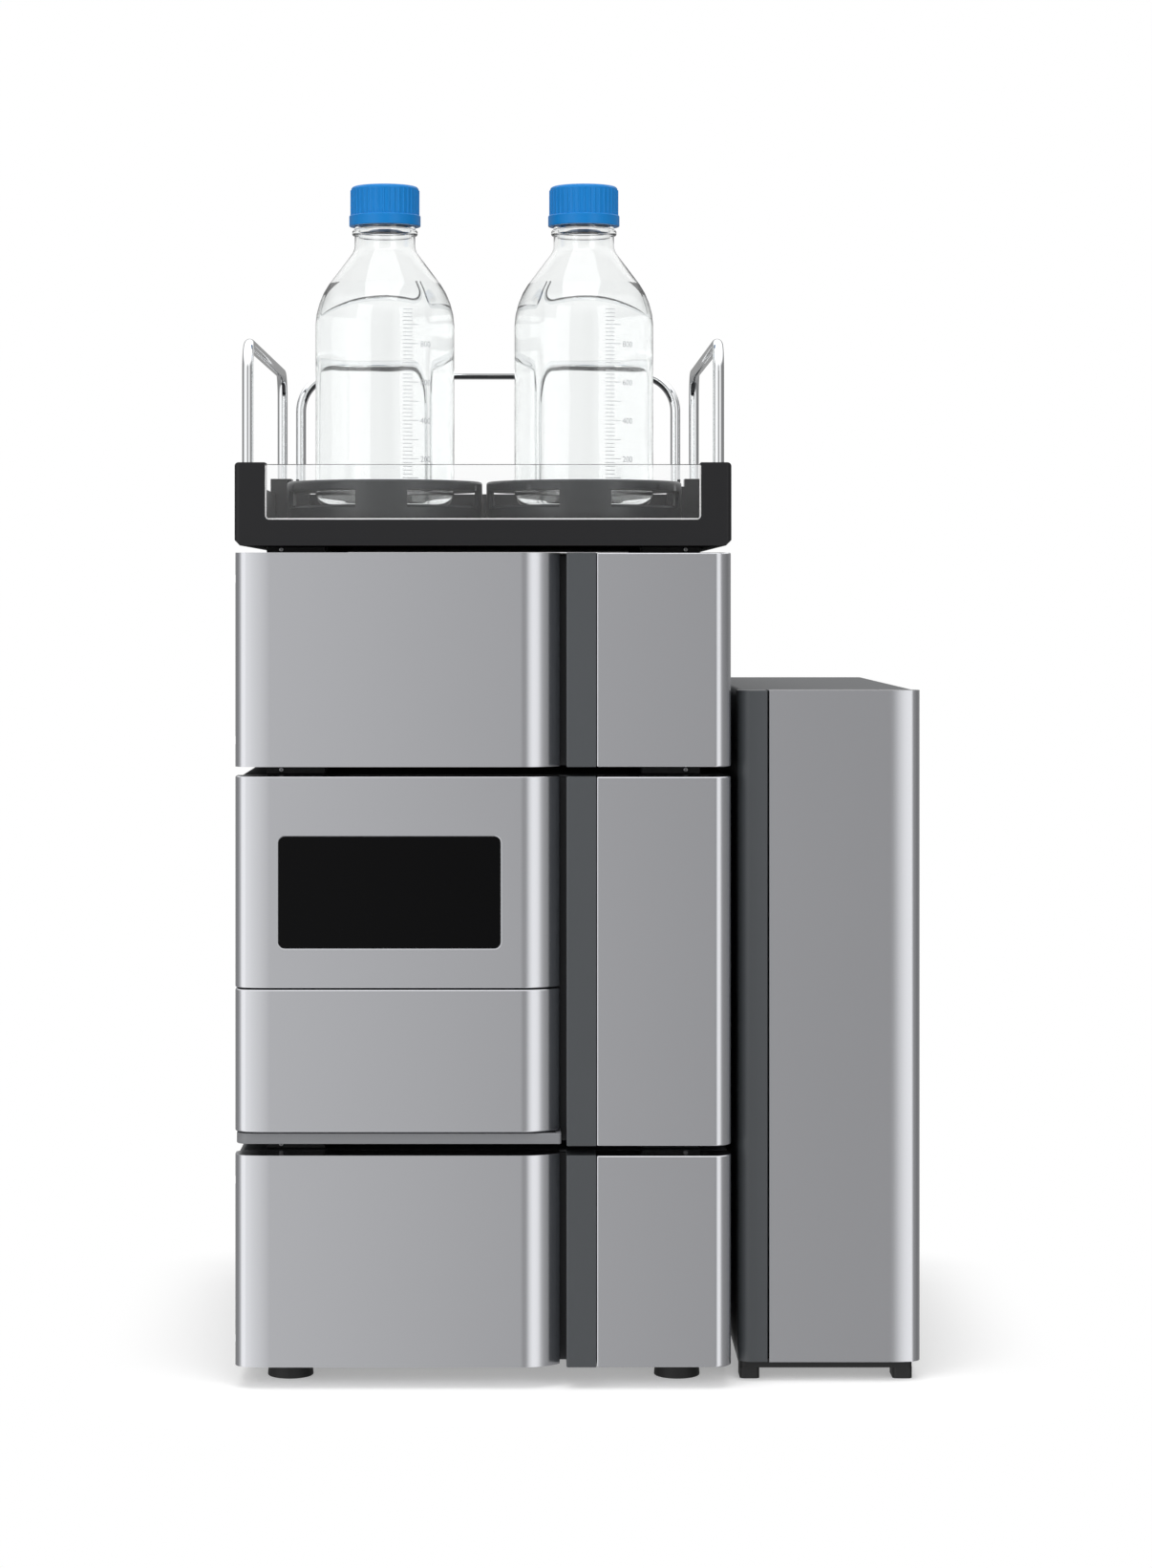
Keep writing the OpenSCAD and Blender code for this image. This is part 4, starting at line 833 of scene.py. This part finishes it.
# %% Fan filters
FILTER_SIDE, FILTER_THICK, FILTER_ROUNDING = 92 * MM, 5 * MM, 1.0
FILTER_INSET = 2.4 * MM  # from the outer face of the panel
FANS = {  # cover, and the place of the fan's middle as shares of its width and its height
    "pump_fan_filter": ("pump_cover", 1 / 3, 0.5),
    "sampler_fan_filter": ("sampler_cover", 1 / 3, 0.5),
    "detector_fan_filter": ("detector_cover", 1 / 3, 0.5),
    "oven_fan_filter": ("oven_cabinet", 0.5, 0.62),
}


def fan_filter(cover, x_share, z_share):
    """A foam plate just inside the panel that closes a cover."""
    low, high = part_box(cover)
    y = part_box(COVERS[cover])[1].y - FILTER_INSET
    x = low.x + (high.x - low.x) * x_share
    z = low.z + (high.z - low.z) * z_share
    half = FILTER_SIDE / 2
    return block((x - half, y - FILTER_THICK, z - half), (x + half, y, z + half), FILTER_ROUNDING)


for name, (cover, x_share, z_share) in FANS.items():
    foam = fan_filter(cover, x_share, z_share)
    piece_from(foam, name, "stack", filter_foam)
print("filters:", len(FANS))

# %% [markdown]
# ## Solvent tray
#
# The tray is one black moulding. Its front opening is closed by a clear acrylic sheet,
# and a matt white line round the opening is a painted highlight for the sheet's glowing cut rim.
# The holders are tubs with windows, and their rims are rounded more than the other edges.

# %% Tray
rounded("tray_frame", 1.0, tray_plastic)
rounded("tray_window", 0.5, clear_acrylic)
for node in ("left_bottle_holder", "right_bottle_holder"):
    rounded(node, 0.9, holder_plastic)
print("tray is", round((tray_high.x - tray_low.x) / MM, 1), "mm wide")

# %% Painted highlight round the window
RIM_WIDE, RIM_DEEP = 1.0 * MM, 1.5 * MM
RIM_ROUND = 3.0
RIM_BELOW_TOP = 1 * MM  # under the top of the sheet
RIM_BACK = 2.6 * MM  # behind the front of the tray
POST_WIDE, BAR_HIGH = 21.5 * MM, 18.3 * MM  # of the tray, beside and under its opening


def window_rim():
    """A thin U of matt white that lines the opening between the front posts: a painted highlight
    for the glowing cut rim of the acrylic.
    """
    left, right = tray_low.x + POST_WIDE, tray_high.x - POST_WIDE
    foot, top = tray_low.z + BAR_HIGH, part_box("tray_window")[1].z - RIM_BELOW_TOP
    y = tray_low.y + RIM_BACK
    bm = bmesh.new()
    spots = ((left, y, top), (left, y, foot), (right, y, foot), (right, y, top))
    corners = [bm.verts.new(spot) for spot in spots]
    for pair in zip(corners, corners[1:]):
        bm.edges.new(pair)
    for corner in corners[1:3]:
        round_corner(bm, corner, RIM_ROUND)
    inner = points_of(bmesh.ops.extrude_edge_only(bm, edges=bm.edges[:])["geom"])
    middle = (left + right) / 2
    stretch = (right - left - 2 * RIM_WIDE) / (right - left)
    for vert in inner:
        vert.co.x = middle + (vert.co.x - middle) * stretch
        if vert.co.z < top - RIM_ROUND * MM:
            vert.co.z = max(vert.co.z, foot + RIM_WIDE)
    back = points_of(bmesh.ops.extrude_face_region(bm, geom=bm.faces[:])["geom"])
    bmesh.ops.translate(bm, vec=(0, RIM_DEEP, 0), verts=back)
    bmesh.ops.recalc_face_normals(bm, faces=bm.faces)
    return bm


piece_from(window_rim(), "window_rim", "stack", painted_rim_highlight)
print("rim width in mm:", RIM_WIDE / MM)

# %% [markdown]
# ## Bottles
#
# A laboratory bottle is blown glass: an even wall, a thicker base, a round shoulder that
# runs into a cone, and a neck with a bead under the thread. The wire goes up the outside
# and down the inside. The inner corners of the shoulder lie where lines a wall's
# thickness inside the outer lines cross, so the wall is the same all the way.

# %% Bottle outline
BOTTLE_RADIUS, BOTTLE_WALL, BOTTLE_BASE = 50.5, 2.4, 4.0
BASE_CROWN = 1.5  # rise of the inner base towards its middle
NECK_RADIUS = 22.0
SHOULDER_START = 148.73  # height where the lines of wall and cone would cross
CONE_ANGLE = math.radians(37)
BEAD_RADIUS, BEAD_LOW, BEAD_HIGH = 23.8, 196.9, 201.5
BEAD_SLOPE = 0.6
STEPS_ROUND = 144

bottle_low, bottle_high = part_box("left_bottle")
bottle_height = (bottle_high.z - bottle_low.z) / MM
cone_height = (BOTTLE_RADIUS - NECK_RADIUS) / math.tan(CONE_ANGLE)
inner_drop = BOTTLE_WALL * math.tan(CONE_ANGLE / 2)
OUTSIDE = [  # radius, height and rounding of each corner
    (0, 0, 0),
    (BOTTLE_RADIUS, 0, 9),
    (BOTTLE_RADIUS, SHOULDER_START, 48),
    (NECK_RADIUS, SHOULDER_START + cone_height, 10),
    (NECK_RADIUS, BEAD_LOW, 0.6),
    (BEAD_RADIUS, BEAD_LOW + BEAD_SLOPE, 1.4),
    (BEAD_RADIUS, BEAD_HIGH - BEAD_SLOPE, 1.4),
    (NECK_RADIUS, BEAD_HIGH, 0.6),
    (NECK_RADIUS, bottle_height, 1.0),
]
INSIDE = [
    (NECK_RADIUS - BOTTLE_WALL, bottle_height, 1.0),
    (NECK_RADIUS - BOTTLE_WALL, SHOULDER_START - inner_drop + cone_height, 12.4),
    (BOTTLE_RADIUS - BOTTLE_WALL, SHOULDER_START - inner_drop, 45.6),
    (BOTTLE_RADIUS - BOTTLE_WALL, BOTTLE_BASE, 7),
    (0, BOTTLE_BASE + BASE_CROWN, 0),
]
print("bottle height in mm:", round(bottle_height, 1), "cone height:", round(cone_height, 1))

# %% Glass
SIDES = ("left", "right")
CUBIC_MM_IN_ML = 1000


def bring_to_bottle(bm, side):
    """Moves a shape from the origin to the middle of a bottle's foot."""
    low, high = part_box(f"{side}_bottle")
    middle = (low + high) / 2
    bmesh.ops.translate(bm, vec=(middle.x, middle.y, low.z), verts=bm.verts)


def millilitres(bm):
    return bm.calc_volume() / MM**3 / CUBIC_MM_IN_ML


for side in SIDES:
    node = f"{side}_bottle"
    glass = turned(OUTSIDE + INSIDE, STEPS_ROUND)
    bring_to_bottle(glass, side)
    print(node, "has", len(glass.faces), "faces and", round(millilitres(glass), 1), "ml of glass")
    piece = piece_from(glass, f"{node}_glass", body_of_node(node), bottle_glass)
    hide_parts(node)

# %% [markdown]
# ## Thread
#
# The neck carries a coarse thread with a rounded ridge, which shows under the cap when
# the cap is turned up. A spin that also rises at every step draws it: the ridge's four
# corners go round the neck four and a quarter times. The cap's wall has room for it.

# %% Thread
THREAD_START, THREAD_PITCH, THREAD_TURNS = 206.0, 4.0, 4.25
THREAD_ROOT, THREAD_CREST = NECK_RADIUS - 0.3, 22.35  # from inside the glass to the ridge's top
ROOT_HALF, CREST_HALF = 1.1, 0.3  # half the height of the ridge, at its root and at its crest
THREAD_STEPS = 64


def thread():
    """One ridge that climbs the neck, spun with a rise at every step."""
    bm = bmesh.new()
    corners = [
        (THREAD_ROOT, -ROOT_HALF),
        (THREAD_CREST, -CREST_HALF),
        (THREAD_CREST, CREST_HALF),
        (THREAD_ROOT, ROOT_HALF),
    ]
    verts = [bm.verts.new((radius * MM, 0, (THREAD_START + rise) * MM)) for radius, rise in corners]
    for first, second in zip(verts, verts[1:] + verts[:1]):
        bm.edges.new((first, second))
    bmesh.ops.spin(
        bm,
        geom=bm.verts[:] + bm.edges[:],
        cent=(0, 0, 0),
        axis=(0, 0, 1),
        dvec=(0, 0, THREAD_PITCH / THREAD_STEPS * MM),
        angle=2 * math.pi * THREAD_TURNS,
        steps=round(THREAD_STEPS * THREAD_TURNS),
    )
    bmesh.ops.holes_fill(bm, edges=[e for e in bm.edges if e.is_boundary], sides=0)
    bmesh.ops.recalc_face_normals(bm, faces=bm.faces)
    return bm


for side in SIDES:
    ridge = thread()
    bring_to_bottle(ridge, side)
    print(side, "thread closed:", all(e.is_manifold for e in ridge.edges))
    piece_from(ridge, f"{side}_thread", "stack", bottle_glass)

# %% [markdown]
# ## Solvent
#
# The bottles are full of a clear liquid. Seen from the side it is a lens: what stands
# behind a full bottle is squeezed and turned left to right. The liquid is the inner
# outline again, a tenth of a millimetre into the glass so that no air is left between
# them, cut off at the level of the liquid and closed with one flat face.

# %% Solvent
FILL_LEVEL = 161.0
INTO_GLASS = 0.1


def solvent():
    """The inner outline, pushed a little into the glass and cut off at the fill level."""
    walls = [(radius + INTO_GLASS, height, rounding) for radius, height, rounding in INSIDE[:-2]]
    walls[0] = (*walls[0][:2], 0)  # the wire starts here, so there is no corner to round
    (foot_radius, foot_height, foot_rounding), (_, crown_height, _) = INSIDE[-2:]
    walls.append((foot_radius + INTO_GLASS, foot_height - INTO_GLASS, foot_rounding))
    walls.append((0, crown_height - INTO_GLASS, 0))
    bm = turned(walls, STEPS_ROUND)
    cut = bmesh.ops.bisect_plane(
        bm,
        geom=bm.verts[:] + bm.edges[:] + bm.faces[:],
        dist=0.001 * MM,
        plane_co=(0, 0, FILL_LEVEL * MM),
        plane_no=(0, 0, 1),
        clear_outer=True,
    )
    bmesh.ops.edgenet_fill(bm, edges=edges_of(cut["geom_cut"]))
    bmesh.ops.recalc_face_normals(bm, faces=bm.faces)
    return bm


for side in SIDES:
    liquid = solvent()
    bring_to_bottle(liquid, side)
    print(side, "solvent:", round(millilitres(liquid)), "ml")
    piece_from(liquid, f"{side}_solvent", "stack", solvent_clear)

# %% [markdown]
# ## Graduations
#
# Enamel lines and numbers are fired on the glass. They are drawn flat and then wrapped:
# a point's distance across becomes an angle round the bottle. Text has to be a mesh
# before it can be bent.

# %% Flat drawings


def flat_text(words, size):
    """The faces of a text, as a bmesh in mm from its lower left corner."""
    curve = bpy.data.curves.new("number", "FONT")
    curve.body = words
    curve.size = size
    curve.resolution_u = 3  # keeps the round digits light
    holder = bpy.data.objects.new("number", curve)
    bpy.context.scene.collection.objects.link(holder)
    data = holder.to_mesh()
    bm = bmesh.new()
    bm.from_mesh(data)
    holder.to_mesh_clear()
    bpy.data.objects.remove(holder)
    bpy.data.curves.remove(curve)
    return bm


def add_flat(target, source, dx, dz):
    """Adds a flat drawing, made in x and y, to the scale at a place in mm."""
    bmesh.ops.translate(source, vec=(dx, dz, 0), verts=source.verts)
    data = bpy.data.meshes.new("drawing")
    source.to_mesh(data)
    source.free()
    target.from_mesh(data)
    bpy.data.meshes.remove(data)


sample = flat_text("100", 1.0)
print("faces of a three-digit number:", len(sample.faces))
sample.free()

# %% Graduations
ML_HEIGHT = 0.1376  # height in mm of one millilitre
ZERO_HEIGHT = 5.5
MARKS = range(100, 1000, 20)  # millilitres with a line
LONG_EVERY, NUMBER_EVERY = 100, 200
SCALE_AZIMUTH = math.radians(17)  # left end of the lines, from the front towards +X
INK_RADIUS = BOTTLE_RADIUS + 0.03
INK_THICK = 0.05
LONG_LINE, SHORT_LINE, LINE_WIDTH = 12.0, 7.0, 0.5
NUMBER_SIZE, NUMBER_GAP = 6.0, 1.5
HALF_DIGIT = 0.35  # half the height of a digit, as a share of the size of the text


def graduations():
    """The scale of a bottle that stands at the origin."""
    flat = bmesh.new()
    for ml in MARKS:
        height = ZERO_HEIGHT + ml * ML_HEIGHT
        length = LONG_LINE if ml % LONG_EVERY == 0 else SHORT_LINE
        line = bmesh.new()
        bmesh.ops.create_grid(line, x_segments=6, y_segments=1, size=0.5)
        bmesh.ops.scale(line, vec=(length, LINE_WIDTH, 1), verts=line.verts)
        add_flat(flat, line, length / 2, height)
        if ml % NUMBER_EVERY == 0:
            number = flat_text(str(ml), NUMBER_SIZE)
            add_flat(flat, number, LONG_LINE + NUMBER_GAP, height - NUMBER_SIZE * HALF_DIGIT)
    bmesh.ops.triangulate(flat, faces=flat.faces)
    top = points_of(bmesh.ops.extrude_face_region(flat, geom=flat.faces[:])["geom"])
    bmesh.ops.translate(flat, vec=(0, 0, INK_THICK), verts=top)
    for vert in flat.verts:
        across, up, out = vert.co
        angle = SCALE_AZIMUTH + across / BOTTLE_RADIUS
        radius = INK_RADIUS + out
        vert.co = Vector((radius * math.sin(angle), -radius * math.cos(angle), up)) * MM
    bmesh.ops.recalc_face_normals(flat, faces=flat.faces)
    return flat


for side in SIDES:
    scale = graduations()
    bring_to_bottle(scale, side)
    piece_from(scale, f"{side}_graduations", "stack", scale_ink)
print("lines from", MARKS[0], "to", MARKS[-1], "ml on each bottle")

# %% [markdown]
# ## Caps and seals
#
# The screw caps have forty grip ribs and a plain band at the foot, and a pale liner lies
# under each. Their shape is in the frame already. A radius as small as a third of a
# millimetre is enough to make every rib catch its own line of light.

# %% Caps and seals
for side in SIDES:
    rounded(f"{side}_cap", 0.35, cap_plastic, segments=2)
    paint_node(f"{side}_cap_seal", seal_plastic)
cap_low, cap_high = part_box("left_cap")
print("cap is", round((cap_high.z - cap_low.z) / MM, 1), "mm tall")

# %% [markdown]
# ## Vials
#
# The drawer carries two racks of small glass vials. Each vial is a turned glass body
# with an aluminium crimp cap and a pale septum in its middle. There are many of them,
# so each has only a few faces.

# %% Vials
VIAL_RADIUS, VIAL_HEIGHT, CRIMP_HEIGHT = 6.0, 38.0, 6.0
GLASS_RADIUS, CRIMP_RADIUS, SEPTUM_RADIUS = VIAL_RADIUS - 0.1, VIAL_RADIUS - 0.6, 2.6
SHOULDER_HEIGHT, CRIMP_FOOT = 29, VIAL_HEIGHT - CRIMP_HEIGHT
CRIMP_RIM = 0.5  # how far the septum lies under the crimp's top
VIAL_COLUMNS, VIAL_ROWS, VIAL_PITCH = 4, 6, 20 * MM
RACK_GAP = 4 * MM


def vial_places():
    """Places of the vials' bases, two racks of four by six."""
    vials_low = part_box("vials")[0]
    near = vials_low.y + VIAL_RADIUS * MM
    rack_low, rack_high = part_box("vial_racks")
    rack_shift = (rack_high.x - rack_low.x + RACK_GAP) / 4
    middle = (rack_low.x + rack_high.x) / 2
    first_column = -(VIAL_COLUMNS - 1) / 2 * VIAL_PITCH
    return [
        at(
            middle + side * rack_shift + first_column + column * VIAL_PITCH,
            near + row * VIAL_PITCH,
            vials_low.z,
        )
        for side in (-1, 1)
        for column in range(VIAL_COLUMNS)
        for row in range(VIAL_ROWS)
    ]


spots = vial_places()
print("vials:", len(spots))

# %% Bodies, crimps and septa
vial_body = [
    (0, 0.2, 0),
    (GLASS_RADIUS, 0.2, 1.0),
    (GLASS_RADIUS, SHOULDER_HEIGHT, 1.5),
    (VIAL_RADIUS - 2, CRIMP_FOOT, 0),
    (0, CRIMP_FOOT, 0),
]
crimp = [
    (0, CRIMP_FOOT + 0.02, 0),
    (CRIMP_RADIUS, CRIMP_FOOT + 0.02, 0.5),
    (CRIMP_RADIUS, VIAL_HEIGHT, 0.8),
    (SEPTUM_RADIUS, VIAL_HEIGHT, 0),
    (SEPTUM_RADIUS, VIAL_HEIGHT - CRIMP_RIM, 0),
    (0, VIAL_HEIGHT - CRIMP_RIM, 0),
]
septum = [
    (0, VIAL_HEIGHT - 0.6, 0),
    (SEPTUM_RADIUS, VIAL_HEIGHT - 0.6, 0),
    (SEPTUM_RADIUS, VIAL_HEIGHT - 0.25, 0),
    (0, VIAL_HEIGHT - 0.2, 0),
]
for name, outline, steps, material, slot in (
    ("vial_bodies", vial_body, 16, vial_glass, "bottle_glass"),
    ("vial_crimps", crimp, 16, heater_aluminium, "heater_aluminium"),
    ("vial_septa", septum, 12, seal_plastic, "seal_plastic"),
):
    many = copies(turned(outline, steps), spots)
    piece = piece_from(many, name, "sampler_drawer", material)
    if name == "vial_bodies":
        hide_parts("vials")
    print(name, "has", len(piece.data.polygons), "faces")
